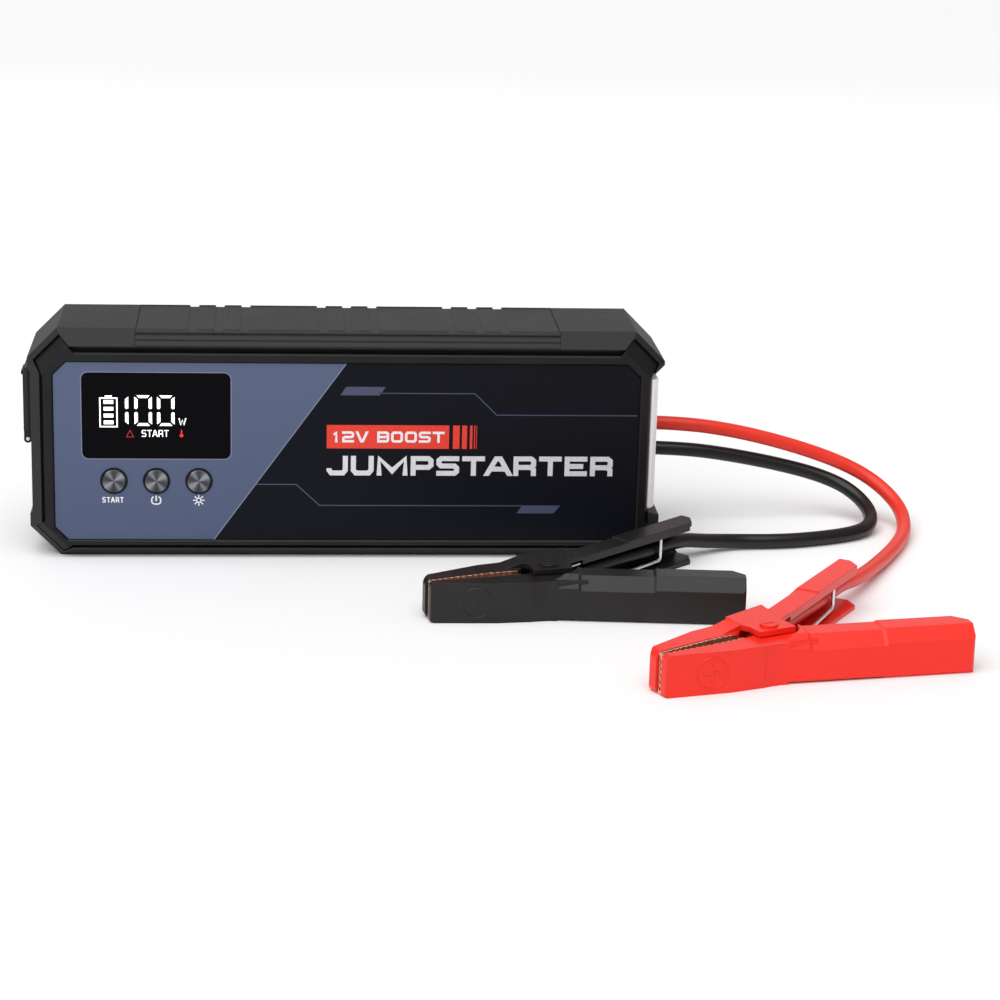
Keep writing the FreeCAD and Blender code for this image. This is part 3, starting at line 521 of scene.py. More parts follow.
class Finishes:
    """The finishes of the pack and its lead."""

    bumper = Moulded("bumper_rubber", (0.011, 0.011, 0.012), rough=0.50, edge_highlight_gain=4.0, depth=0.00004, specular=0.26)
    grip = Moulded("grip_rubber", (0.013, 0.013, 0.014), rough=0.52, edge_highlight_gain=5.0, depth=0.00005, specular=0.28)
    bezel = Moulded("bezel_plastic", (0.007, 0.007, 0.008), rough=0.34, edge_highlight_gain=4.0, grain=3600, depth=0.00001,
                    specular=0.2)
    shell = Moulded("shell_plastic", (0.009, 0.009, 0.010), rough=0.5, grain=1900, depth=0.00006, specular=0.3)
    flap = Moulded("cover_rubber", (0.006, 0.006, 0.007), rough=0.55, edge_radius=0.0004, specular=0.25)
    ring = Moulded("ring_plastic", (0.003, 0.003, 0.004), rough=0.25, depth=0.000005, edge_radius=0.0002, specular=0.2)
    plug = Moulded("plug_plastic", (0.008, 0.035, 0.25), rough=0.4, edge_highlight_gain=1.3, grain=2200)
    socket = Moulded("socket_plastic", (0.006, 0.028, 0.20), rough=0.42, edge_highlight_gain=1.3)
    boot = Moulded("boot_rubber", (0.006, 0.006, 0.007), rough=0.6, edge_radius=0.0003, specular=0.3)
    relay = Moulded("relay_plastic", (0.01, 0.01, 0.012), rough=0.3)
    foam = Moulded("foam", (0.02, 0.02, 0.02), rough=0.95, grain=900, depth=0.0003)
    black_clamp = Moulded("black_plastic", (0.0105, 0.0092, 0.0095), rough=0.36, rough_swing=0.06, grain=3000,
                          depth=0.00002, edge_radius=0.0005, edge_highlight_gain=5.0, specular=0.3)
    red_clamp = Moulded("red_plastic", (0.86, 0.022, 0.010), lift=1.03, rough=0.33, rough_swing=0.05, grain=3000,
                        depth=0.000015, edge_radius=0.0005, edge_highlight_gain=1.10, specular=0.35)
    black_cable = Silicone("black_silicone", (0.004, 0.0035, 0.004), (0.012, 0.012, 0.013), 0.33)
    red_cable = Silicone("red_silicone", (0.80, 0.030, 0.013), (0.86, 0.10, 0.07), 0.35)
    copper = Metal("copper", (0.93, 0.58, 0.43), (0.70, 0.36, 0.24), 0.34)
    brass = Metal("brass", (0.85, 0.66, 0.30), (0.55, 0.40, 0.18), 0.3)
    steel = Metal("steel", (0.66, 0.67, 0.69), (0.42, 0.42, 0.43), 0.3)
    spring = Metal("spring_steel", (0.78, 0.79, 0.80), (0.6, 0.6, 0.6), 0.24)
    can = Metal("can", (0.6, 0.61, 0.64), (0.4, 0.4, 0.42), 0.4)
    window = BlackGlass("display_glass")
    slate = Printed("slate_print", (0.110, 0.136, 0.225), (0.082, 0.104, 0.180), 0.42)
    panel = Printed("panel_print", (0.0060, 0.0066, 0.0105), (0.0052, 0.0060, 0.0095), 0.36)
    label = Printed("label_film", (0.45, 0.46, 0.48), (0.38, 0.39, 0.41), 0.45)
    slate_line = Ink("slate_ink", (0.052, 0.060, 0.125), 0.42)
    pale_line = Ink("pale_ink", (0.22, 0.25, 0.36), 0.42)
    orange = Ink("orange_ink", (0.80, 0.036, 0.013), 0.42)
    silver = Ink("silver_ink", (0.72, 0.72, 0.75), 0.38, 0.1)
    white = Ink("white_ink", (0.86, 0.86, 0.90), 0.45)
    lit_white = Glowing("lit_white", (1.0, 1.0, 1.0), 1.1)
    lit_red = Glowing("lit_red", (0.9, 0.01, 0.03), 0.75)
    dim_red = Glowing("dim_red", (0.35, 0.0, 0.015), 0.25)
    lens = Diffuser("lens_white")
    board = CircuitBoard("board")
    led = Ink("led", (0.9, 0.8, 0.35), 0.3)
    foil = CellFoil("cell_foil")
    floor = FloorFinish("studio_floor")


# ---------------------------------------------------------------- mesh helpers
def wear(obj: bpy.types.Object, finish: Finish) -> bpy.types.Object:
    """Gives an object one finish all over.

    Args:
        obj: the object to dress.
        finish: its finish.

    Returns:
        The same object.
    """
    if not obj.data.materials:
        obj.data.materials.append(finish.material())
    for index in range(len(obj.data.materials)):
        obj.data.materials[index] = finish.material()
    return obj


def new_object(name: str, mesh: bpy.types.Mesh) -> bpy.types.Object:
    """Links a mesh into the scene as an object at the origin."""
    obj = bpy.data.objects.new(name, mesh)
    bpy.context.scene.collection.objects.link(obj)
    return obj


def from_bmesh(name: str, bm: bmesh.types.BMesh, smooth: float | None = None) -> bpy.types.Object:
    """Turns a bmesh into an object and frees it.

    Args:
        name: the object's name.
        bm: the geometry.
        smooth: angle in degrees under which neighbouring faces shade smoothly.

    Returns:
        The new object.
    """
    mesh = bpy.data.meshes.new(name)
    bm.to_mesh(mesh)
    bm.free()
    if smooth is not None:
        mesh.shade_smooth()
        mesh.set_sharp_from_angle(angle=math.radians(smooth))
    return new_object(name, mesh)


def applied(obj: bpy.types.Object) -> bpy.types.Object:
    """Makes an object's modifiers part of its mesh.

    Args:
        obj: a mesh or curve object; it is removed.

    Returns:
        A plain mesh object of the same name, with no modifiers.
    """
    name = obj.name
    depsgraph = bpy.context.evaluated_depsgraph_get()
    mesh = bpy.data.meshes.new_from_object(obj.evaluated_get(depsgraph), depsgraph=depsgraph)
    bpy.data.objects.remove(obj)
    mesh.name = name
    return new_object(name, mesh)


def smooth_line(name: str, route: Sequence[Vector], steps: int) -> bpy.types.Object:
    """Curve of order three from the first control point to the last.

    Args:
        name: the object's name.
        route: the control points, in metres.
        steps: points for each span.

    Returns:
        The curve object, still without thickness.
    """
    curve = bpy.data.curves.new(name, "CURVE")
    curve.dimensions = "3D"
    spline = curve.splines.new("NURBS")
    spline.points.add(len(route) - 1)
    for point, spot in zip(spline.points, route):
        point.co = (*spot, 1.0)
    spline.order_u = 3
    spline.use_endpoint_u = True
    spline.resolution_u = steps
    return new_object(name, curve)


def prism_between(bm: bmesh.types.BMesh, outline: Sequence[Vector], travel: Vector) -> None:
    """Adds a closed prism to a bmesh.

    Args:
        bm: where it goes.
        outline: the closed outline of one end.
        travel: from that end to the other.
    """
    near = [bm.verts.new(point) for point in outline]
    far = [bm.verts.new(point + travel) for point in outline]
    bm.faces.new(near)
    bm.faces.new(list(reversed(far)))
    count = len(outline)
    for index in range(count):
        after = (index + 1) % count
        bm.faces.new((near[after], near[index], far[index], far[after]))


def flat_print(name: str, outlines: Iterable[Sequence[Point2]], front: float, finish: Finish,
               thickness: float = 0.03) -> bpy.types.Object:
    """Thin printed shapes that face -Y.

    Args:
        name: the piece's name.
        outlines: closed outlines in X and Z, in millimetres.
        front: where their front faces lie along Y, in millimetres.
        finish: their ink.
        thickness: the film's thickness, in millimetres.

    Returns:
        The piece, riding on the pack.
    """
    bm = bmesh.new()
    for index, outline in enumerate(outlines):
        points = [Vector((x, front - 0.001 * (index % 9), z)) * MM for x, z in outline]
        prism_between(bm, points, Vector((0, thickness, 0)) * MM)
    bmesh.ops.recalc_face_normals(bm, faces=bm.faces)
    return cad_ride(wear(from_bmesh(name, bm), finish), Body.PACK)


LETTERS: dict[str, list[list[Point2]]] = {
    "A": [[(0, 0), (0.40, 1), (0.60, 1), (1, 0)], [(0.17, 0.30), (0.83, 0.30)]],
    "B": [[(0, 0.5), (0.86, 0.5), (1, 0.62), (1, 0.88), (0.86, 1), (0, 1), (0, 0), (0.86, 0), (1, 0.12), (1, 0.38),
           (0.86, 0.5)]],
    "E": [[(1, 1), (0, 1), (0, 0), (1, 0)], [(0, 0.5), (0.92, 0.5)]],
    "J": [[(1, 1), (1, 0.2), (0.86, 0), (0.14, 0), (0, 0.2), (0, 0.32)]],
    "M": [[(0, 0), (0, 1), (0.5, 0.14), (1, 1), (1, 0)]],
    "O": [[(0.5, 1), (0.14, 1), (0, 0.84), (0, 0.16), (0.14, 0), (0.86, 0), (1, 0.16), (1, 0.84), (0.86, 1),
           (0.5, 1)]],
    "P": [[(0, 0), (0, 1), (0.86, 1), (1, 0.86), (1, 0.54), (0.86, 0.40), (0, 0.40)]],
    "R": [[(0, 0), (0, 1), (0.86, 1), (1, 0.86), (1, 0.56), (0.86, 0.42), (0, 0.42)],
          [(0.62, 0.42), (0.86, 0.40), (1, 0.26), (1, 0)]],
    "S": [[(1, 1), (0.12, 1), (0, 0.88), (0, 0.64), (0.12, 0.5), (0.88, 0.5), (1, 0.36), (1, 0.12), (0.88, 0),
           (0, 0)]],
    "T": [[(0, 1), (1, 1)], [(0.5, 1), (0.5, 0)]],
    "U": [[(0, 1), (0, 0.2), (0.14, 0), (0.86, 0), (1, 0.2), (1, 1)]],
    "V": [[(0, 1), (0.42, 0), (0.58, 0), (1, 1)]],
    "W": [[(0, 1), (0.24, 0), (0.5, 0.85), (0.76, 0), (1, 1)]],
    "1": [[(0.15, 0.72), (0.55, 1), (0.55, 0)]],
    "2": [[(0, 1), (0.86, 1), (1, 0.88), (1, 0.60), (0.86, 0.48), (0.14, 0.48), (0, 0.36), (0, 0), (1, 0)]],
}


BREADTHS: dict[str, float] = {"J": 0.93, "M": 1.36, "W": 1.2, "1": 0.7, " ": 0.45}


def ribbon(points: Sequence[Point2], width: float, level: tuple[bool, bool] = (False, False)) -> list[list[Point2]]:
    """Outlines of a line of even width with mitred corners, one for each straight run.

    Args:
        points: the line, in X and Z.
        width: its width.
        level: whether its start and its end are cut level instead of square.

    Returns:
        One closed four-sided outline for each run.
    """
    half = width / 2
    closed = math.dist(points[0], points[-1]) < 1e-9
    sides: list[tuple[Point2, Point2]] = []
    last = len(points) - 1
    for index, (x, z) in enumerate(points):
        before = points[index - 1] if index else (points[-2] if closed else None)
        after = points[index + 1] if index < last else (points[1] if closed else None)
        runs = []
        for one, two in ((before, (x, z)), ((x, z), after)):
            if one is not None and two is not None:
                long = math.dist(one, two)
                runs.append((-(two[1] - one[1]) / long, (two[0] - one[0]) / long))
        nx = sum(run[0] for run in runs) / len(runs)
        nz = sum(run[1] for run in runs) / len(runs)
        if (index == 0 and level[0]) or (index == last and level[1]):
            sides.append(((x + half / nx, z), (x - half / nx, z)))
            continue
        size = max(nx * nx + nz * nz, 0.30)
        sides.append(((x + nx * half / size, z + nz * half / size), (x - nx * half / size, z - nz * half / size)))
    return [[one[0], two[0], two[1], one[1]] for one, two in zip(sides, sides[1:])]


def lettering(name: str, words: str, area: tuple[float, float, float, float], front: float, finish: Finish,
              weight: float = 0.2, gap: float = 0.18, thickness: float = 0.03) -> bpy.types.Object:
    """Plain printed words in wide strokes that face -Y and fill an area.

    Args:
        name: the piece's name.
        words: generic wording.
        area: left, right, bottom and top of the letters, in millimetres.
        front: where they lie along Y, in millimetres.
        finish: their ink.
        weight: stroke width as a part of the letters' height.
        gap: space between letters as a part of one letter's width.
        thickness: the film's thickness, in millimetres.

    Returns:
        The piece, riding on the pack.
    """
    left, right, low, high = area
    stroke = (high - low) * weight
    shares = [BREADTHS.get(letter, 1.0) for letter in words]
    unit = (right - left) / (sum(shares) + gap * (len(words) - 1))
    outlines = []
    for index, letter in enumerate(words):
        start = left + unit * (sum(shares[:index]) + gap * index)
        wide = unit * shares[index]
        if letter == "A":
            start, wide = start - unit * 0.12, wide + unit * 0.16
        for line in LETTERS.get(letter, []):
            points = [(start + stroke / 2 + x * (wide - stroke), low + stroke / 2 + z * (high - low - stroke))
                      for x, z in line]
            if line[0][1] in (0, 1) and line[1][0] == line[0][0]:
                points[0] = (points[0][0], low if line[0][1] == 0 else high)
            if line[-1][1] in (0, 1) and line[-2][0] == line[-1][0]:
                points[-1] = (points[-1][0], low if line[-1][1] == 0 else high)
            cuts = []
            for end, near in ((0, 1), (-1, -2)):
                if line[end][0] in (0, 1) and line[near][1] == line[end][1] and line[end] != line[-1 - end]:
                    points[end] = (start + line[end][0] * wide, points[end][1])
                slanted = line[end][0] != line[near][0] and line[end][1] != line[near][1] and line[end][1] in (0, 1)
                if slanted:
                    (x0, z0), (x1, z1) = points[near], points[end]
                    edge = low if line[end][1] == 0 else high
                    points[end] = (x1 + (x1 - x0) * (edge - z1) / (z1 - z0), edge)
                cuts.append(slanted)
            outlines += ribbon(points, stroke, (cuts[0], cuts[1]))
    return flat_print(name, outlines, front, finish, thickness)


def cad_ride(obj: bpy.types.Object, body: Body) -> bpy.types.Object:
    """Fixes a piece to a body and reports it.

    Args:
        obj: the finished piece.
        body: the body it moves with.

    Returns:
        The same piece.
    """
    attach(obj, body.value)
    LOG.info("piece %s on %s", obj.name, body.value)
    return obj


def dress(finish: Finish, *names: str) -> None:
    """Gives CAD pieces a finish.

    Args:
        finish: the finish.
        names: the pieces' names.
    """
    for name in names:
        wear(NODES[name], finish)
        LOG.info("dressed %s with %s", name, finish.name)


def softened(node: str, body: Body, finish: Finish, width: float, segments: int = 2,
             joined: bool = True) -> bpy.types.Object:
    """Stands in for a CAD piece with the same shape and rounded edges.

    Args:
        node: the CAD piece.
        body: the body it moves with.
        finish: its finish.
        width: how far the rounding reaches from each edge, in millimetres.
        segments: steps across the rounding.
        joined: whether the triangles of each flat face are joined first; not for faces with slots in them.

    Returns:
        The new piece.
    """
    bm = bmesh.new()
    bm.from_mesh(NODES[node].data)
    bmesh.ops.remove_doubles(bm, verts=bm.verts, dist=SAME_POINT)
    if joined:
        bmesh.ops.dissolve_limit(bm, angle_limit=math.radians(0.6), verts=bm.verts, edges=bm.edges)
    obj = from_bmesh(node + "_soft", bm)
    obj.data.materials.clear()
    bevel = obj.modifiers.new("rounding", "BEVEL")
    bevel.width = width * MM
    bevel.segments = segments
    bevel.limit_method = "ANGLE"
    bevel.angle_limit = math.radians(ROUNDED_FROM)
    bevel.use_clamp_overlap = True
    bevel.miter_outer = "MITER_ARC"
    obj = applied(obj)
    obj.data.shade_smooth()
    obj.data.set_sharp_from_angle(angle=math.radians(SHARP_FROM))
    evened = obj.modifiers.new("evened", "WEIGHTED_NORMAL")
    evened.keep_sharp = True
    evened.weight = 90
    obj = applied(obj)
    wear(obj, finish)
    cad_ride(obj, body)
    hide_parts(node)
    return obj


# ---------------------------------------------------------------- geometry nodes
class Spread:
    """A Geometry Nodes tree with named inputs, run once on a piece and made plain."""

    def __init__(self, name: str, sizes: dict[str, float]) -> None:
        """Starts a tree with one float input for each size.

        Args:
            name: the tree's name.
            sizes: input names and their values.
        """
        self.tree = bpy.data.node_groups.new(name, "GeometryNodeTree")
        self.sizes = sizes
        self.tree.interface.new_socket("Geometry", in_out="INPUT", socket_type="NodeSocketGeometry")
        for key in sizes:
            self.tree.interface.new_socket(key, in_out="INPUT", socket_type="NodeSocketFloat")
        self.tree.interface.new_socket("Geometry", in_out="OUTPUT", socket_type="NodeSocketGeometry")
        self.entry = self.tree.nodes.new("NodeGroupInput")

    def size(self, key: str) -> bpy.types.NodeSocket:
        """The socket of a named size."""
        return self.entry.outputs[key]

    def add(self, kind: str, settings: dict[str, Any] | None = None, inputs: dict[Any, Any] | None = None,
            output: int | str = 0) -> bpy.types.NodeSocket:
        """Adds a node.

        Args:
            kind: the node's type name.
            settings: its properties.
            inputs: values or sockets for its inputs; a list joins several.
            output: the output that is returned.

        Returns:
            The chosen output socket.
        """
        made = self.tree.nodes.new(kind)
        for key, value in (settings or {}).items():
            setattr(made, key, value)
        for key, value in (inputs or {}).items():
            for one in value if isinstance(value, list) else [value]:
                if isinstance(one, bpy.types.NodeSocket):
                    self.tree.links.new(one, made.inputs[key])
                else:
                    made.inputs[key].default_value = one
        return made.outputs[output]

    def grow(self, name: str, seeds: bpy.types.Mesh, result: bpy.types.NodeSocket, finish: Finish) -> bpy.types.Object:
        """Ends the tree and makes its result a plain mesh.

        Args:
            name: the new piece's name.
            seeds: the mesh the tree starts from.
            result: the geometry to keep.
            finish: the finish it gets.

        Returns:
            The new object at the origin.
        """
        real = self.add("GeometryNodeRealizeInstances", {}, {0: result})
        coated = self.add("GeometryNodeSetMaterial", {}, {"Geometry": real, "Material": finish.material()})
        leave = self.tree.nodes.new("NodeGroupOutput")
        self.tree.links.new(coated, leave.inputs[0])
        obj = new_object(name, seeds)
        modifier = obj.modifiers.new("spread", "NODES")
        modifier.node_group = self.tree
        for item in self.tree.interface.items_tree:
            if item.in_out == "INPUT" and item.name in self.sizes:
                modifier[item.identifier] = self.sizes[item.name]
        return applied(obj)


def seed_points(name: str, points: Iterable[Point3]) -> bpy.types.Mesh:
    """Mesh of loose points, given in millimetres."""
    mesh = bpy.data.meshes.new(name)
    mesh.from_pydata([tuple(c * MM for c in p) for p in points], [], [])
    return mesh


# ---------------------------------------------------------------- the box
@dataclass
class RubberShell:
    """Bumper, grip pad, bezel and the port cover."""

    bumper_round: float = 0.9
    pad_round: float = 0.22
    bezel_round: float = 0.28
    flap_round: float = 0.45

    def build(self) -> None:
        """Rounds the moulded edges."""
        softened("bumper_frame", Body.PACK, Finishes.bumper, self.bumper_round, 3)
        softened("top_grip_pad", Body.PACK, Finishes.grip, self.pad_round, joined=False)
        softened("front_bezel", Body.PACK, Finishes.bezel, self.bezel_round, joined=False)
        softened("port_cover", Body.COVER, Finishes.flap, self.flap_round)

    def dress(self) -> None:
        """Finishes the shells behind the rubber."""
        dress(Finishes.shell, "front_shell", "rear_shell", "port_panel")


@dataclass
class RearScrews:
    """Six countersunk screws in the back."""

    columns: tuple[float, ...] = (-112.0, 0.0, 112.0)
    rows: tuple[float, ...] = (13.0, 80.6)
    head_radius: float = 2.8
    head_height: float = 2.2
    head_back: float = 25.6
    shank_radius: float = 1.3
    shank_front: float = -14.0

    def build(self) -> None:
        """Spreads one screw over the six places."""
        shank_length = self.head_back - self.head_height - self.shank_front
        spread = Spread("case_screw_spread", {
            "Head Radius": self.head_radius * MM, "Head Height": self.head_height * MM,
            "Shank Radius": self.shank_radius * MM, "Shank Length": shank_length * MM})
        quarter = math.pi / 2
        head = spread.add("GeometryNodeMeshCylinder", {}, {"Vertices": 40, "Radius": spread.size("Head Radius"),
                                                           "Depth": spread.size("Head Height")})
        bars = [spread.add("GeometryNodeMeshCube", {}, {"Size": size})
                for size in ((3.2 * MM, 0.7 * MM, 2.0 * MM), (0.7 * MM, 3.2 * MM, 2.0 * MM))]
        joined = spread.add("GeometryNodeJoinGeometry", {}, {0: bars})
        cross = spread.add("GeometryNodeTransform", {}, {"Geometry": joined, "Translation": (0, 0, 1.1 * MM)})
        socketed = spread.add("GeometryNodeMeshBoolean", {"operation": "DIFFERENCE", "solver": "EXACT"},
                              {0: head, 1: cross})
        shank = spread.add("GeometryNodeMeshCylinder", {}, {"Vertices": 24, "Radius": spread.size("Shank Radius"),
                                                            "Depth": spread.size("Shank Length")})
        drop = -(self.head_back - self.shank_front) / 2 * MM
        shank = spread.add("GeometryNodeTransform", {}, {"Geometry": shank, "Translation": (0, 0, drop)})
        screw = spread.add("GeometryNodeJoinGeometry", {}, {0: [socketed, shank]})
        screw = spread.add("GeometryNodeTransform", {}, {"Geometry": screw, "Rotation": (-quarter, 0, 0)})
        many = spread.add("GeometryNodeInstanceOnPoints", {}, {"Points": spread.entry.outputs[0], "Instance": screw})
        middle = self.head_back - self.head_height / 2
        seeds = seed_points("screw_seeds", [(x, middle, z) for x in self.columns for z in self.rows])
        obj = spread.grow("case_screw_set", seeds, many, Finishes.steel)
        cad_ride(obj, Body.PACK)
        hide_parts("case_screws")


@dataclass
class LabelPanel:
    """Front plate in two inks, with its lines, bars and plain words."""

    front: float = -27.6
    film: float = 0.03
    split_top: Point2 = (-1.2, 84.0)
    split_low: Point2 = (-55.9, 8.0)
    bar_box: tuple[float, float, float, float] = (-9.0, 42.1, 47.8, 57.9)
    word_box: tuple[float, float, float, float] = (-9.0, 111.4, 36.1, 44.6)
    bars: tuple[Point2, ...] = ((43.7, 46.5), (47.5, 49.6), (50.8, 51.9), (52.6, 53.0), (53.5, 53.75))
    line: float = 0.42

    def build(self) -> None:
        """Cuts the plate along the slanting edge and lays the print on it."""
        self.split_plate()
        self.print_lines()
        self.print_words()

    def split_plate(self) -> None:
        """Replaces the plate by one with two inks."""
        bm = bmesh.new()
        bm.from_mesh(NODES["label_plate"].data)
        bmesh.ops.remove_doubles(bm, verts=bm.verts, dist=SAME_POINT)
        top = Vector((self.split_top[0], 0, self.split_top[1])) * MM
        low = Vector((self.split_low[0], 0, self.split_low[1])) * MM
        across = (top - low).cross(Vector((0, 1, 0))).normalized()
        if across.x > 0:
            across.negate()
        everything = bm.verts[:] + bm.edges[:] + bm.faces[:]
        bmesh.ops.bisect_plane(bm, geom=everything, plane_co=top, plane_no=across, dist=1e-7)
        for face in bm.faces:
            face.material_index = 1 if (face.calc_center_median() - top).dot(across) > 0 else 0
        obj = from_bmesh("label_plate_print", bm)
        obj.data.materials.append(Finishes.panel.material())
        obj.data.materials.append(Finishes.slate.material())
        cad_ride(obj, Body.PACK)
        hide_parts("label_plate")

    def band(self, *points: Point2, width: float | None = None) -> list[list[Point2]]:
        """Outline of one mitred line of even width.

        Args:
            points: the line's corners, in X and Z.
            width: its width, the plate's line width if left out.

        Returns:
            One closed outline for each straight run.
        """
        half = (width or self.line) / 2
        runs = []
        for (x0, z0), (x1, z1) in zip(points, points[1:]):
            long = math.hypot(x1 - x0, z1 - z0)
            along = ((x1 - x0) / long, (z1 - z0) / long)
            side = (-along[1] * half, along[0] * half)
            reach = (along[0] * half * 0.4, along[1] * half * 0.4)
            runs.append([(x0 - reach[0] + side[0], z0 - reach[1] + side[1]),
                         (x1 + reach[0] + side[0], z1 + reach[1] + side[1]),
                         (x1 + reach[0] - side[0], z1 + reach[1] - side[1]),
                         (x0 - reach[0] - side[0], z0 - reach[1] - side[1])])
        return runs

    def print_lines(self) -> None:
        """Lays the slate lines, the pale edge of the slate area and the orange bars."""
        face = self.front - self.film
        high = self.band((12.9, 71.6), (52.6, 71.6), (61.9, 62.45), (121.0, 62.45))
        low = self.band((-38.2, 32.1), (-21.6, 32.1), (-11.8, 23.0), (73.6, 23.0))
        flat_print("slate_lines", high + low, face, Finishes.slate_line)
        tabs = [[(-3.4, 70.65), (12.9, 70.65), (15.3, 74.3), (-1.1, 74.3)],
                [(71.2, 19.7), (86.9, 19.7), (89.8, 23.2), (73.6, 23.2)]]
        flat_print("slate_tabs", tabs, face, Finishes.slate_line)
        flat_print("slate_edge", self.band(self.split_top, self.split_low, width=0.35), face, Finishes.pale_line)
        left, right, low_z, high_z = self.bar_box
        outlines = [[(left, low_z), (right, low_z), (right, high_z), (left, high_z)]]
        outlines += [[(a, low_z), (b, low_z), (b, high_z), (a, high_z)] for a, b in self.bars]
        flat_print("orange_bars", outlines, face, Finishes.orange)
        rim: list[Point2] = []
        for cx, cz, start in ((-51.6, 77.0, 0), (-107.5, 77.0, 90), (-107.5, 45.8, 180), (-51.6, 45.8, 270)):
            for step in range(7):
                angle = math.radians(start + step * 15)
                rim.append((cx + 2.95 * math.cos(angle), cz + 2.95 * math.sin(angle)))
        rim.append(rim[0])
        flat_print("window_rim", self.band(*rim, width=0.3), face, Finishes.pale_line)

    def print_words(self) -> None:
        """Lays the generic wording and the signs under the buttons."""
        face = self.front - self.film
        lettering("panel_word", "JUMPSTARTER", self.word_box, face, Finishes.silver, 0.25, 0.13)
        lettering("bar_word", "12V BOOST", (-6.9, 40.2, 50.4, 55.2), face - self.film, Finishes.white, 0.22, 0.16)
        lettering("start_sign", "START", (-102.2, -93.4, 24.0, 26.4), face, Finishes.white, 0.19, 0.3)
        self.print_power_sign(Vector((-79.9, 0, 25.0)))
        self.print_light_sign(Vector((-62.2, 0, 25.1)))

    def print_power_sign(self, centre: Vector) -> None:
        """Power sign: a squarish open ring and a stroke."""
        ring: list[Point2] = []
        for index in range(25):
            angle = math.radians(118 + index * 304 / 24)
            square = (abs(math.cos(angle)) ** 3 + abs(math.sin(angle)) ** 3) ** (-1 / 3)
            ring.append((centre.x + 1.85 * square * math.cos(angle), centre.z + 1.6 * square * math.sin(angle)))
        outlines = ribbon(ring, 0.55)
        outlines.append([(centre.x - 0.3, centre.z - 0.2), (centre.x + 0.3, centre.z - 0.2),
                         (centre.x + 0.3, centre.z + 2.1), (centre.x - 0.3, centre.z + 2.1)])
        flat_print("power_sign", outlines, self.front - self.film, Finishes.white)

    def print_light_sign(self, centre: Vector) -> None:
        """Light sign: a small ring with eight rays."""
        ring = [(centre.x + 0.95 * math.cos(a), centre.z + 0.95 * math.sin(a))
                for a in [math.radians(index * 22.5) for index in range(17)]]
        outlines = self.band(*ring, width=0.5)
        for index in range(8):
            angle = math.radians(index * 45)
            start, end = 1.45, 2.3
            outlines += self.band((centre.x + start * math.cos(angle), centre.z + start * math.sin(angle)),
                                  (centre.x + end * math.cos(angle), centre.z + end * math.sin(angle)), width=0.5)
        flat_print("light_sign", outlines, self.front - self.film, Finishes.white)


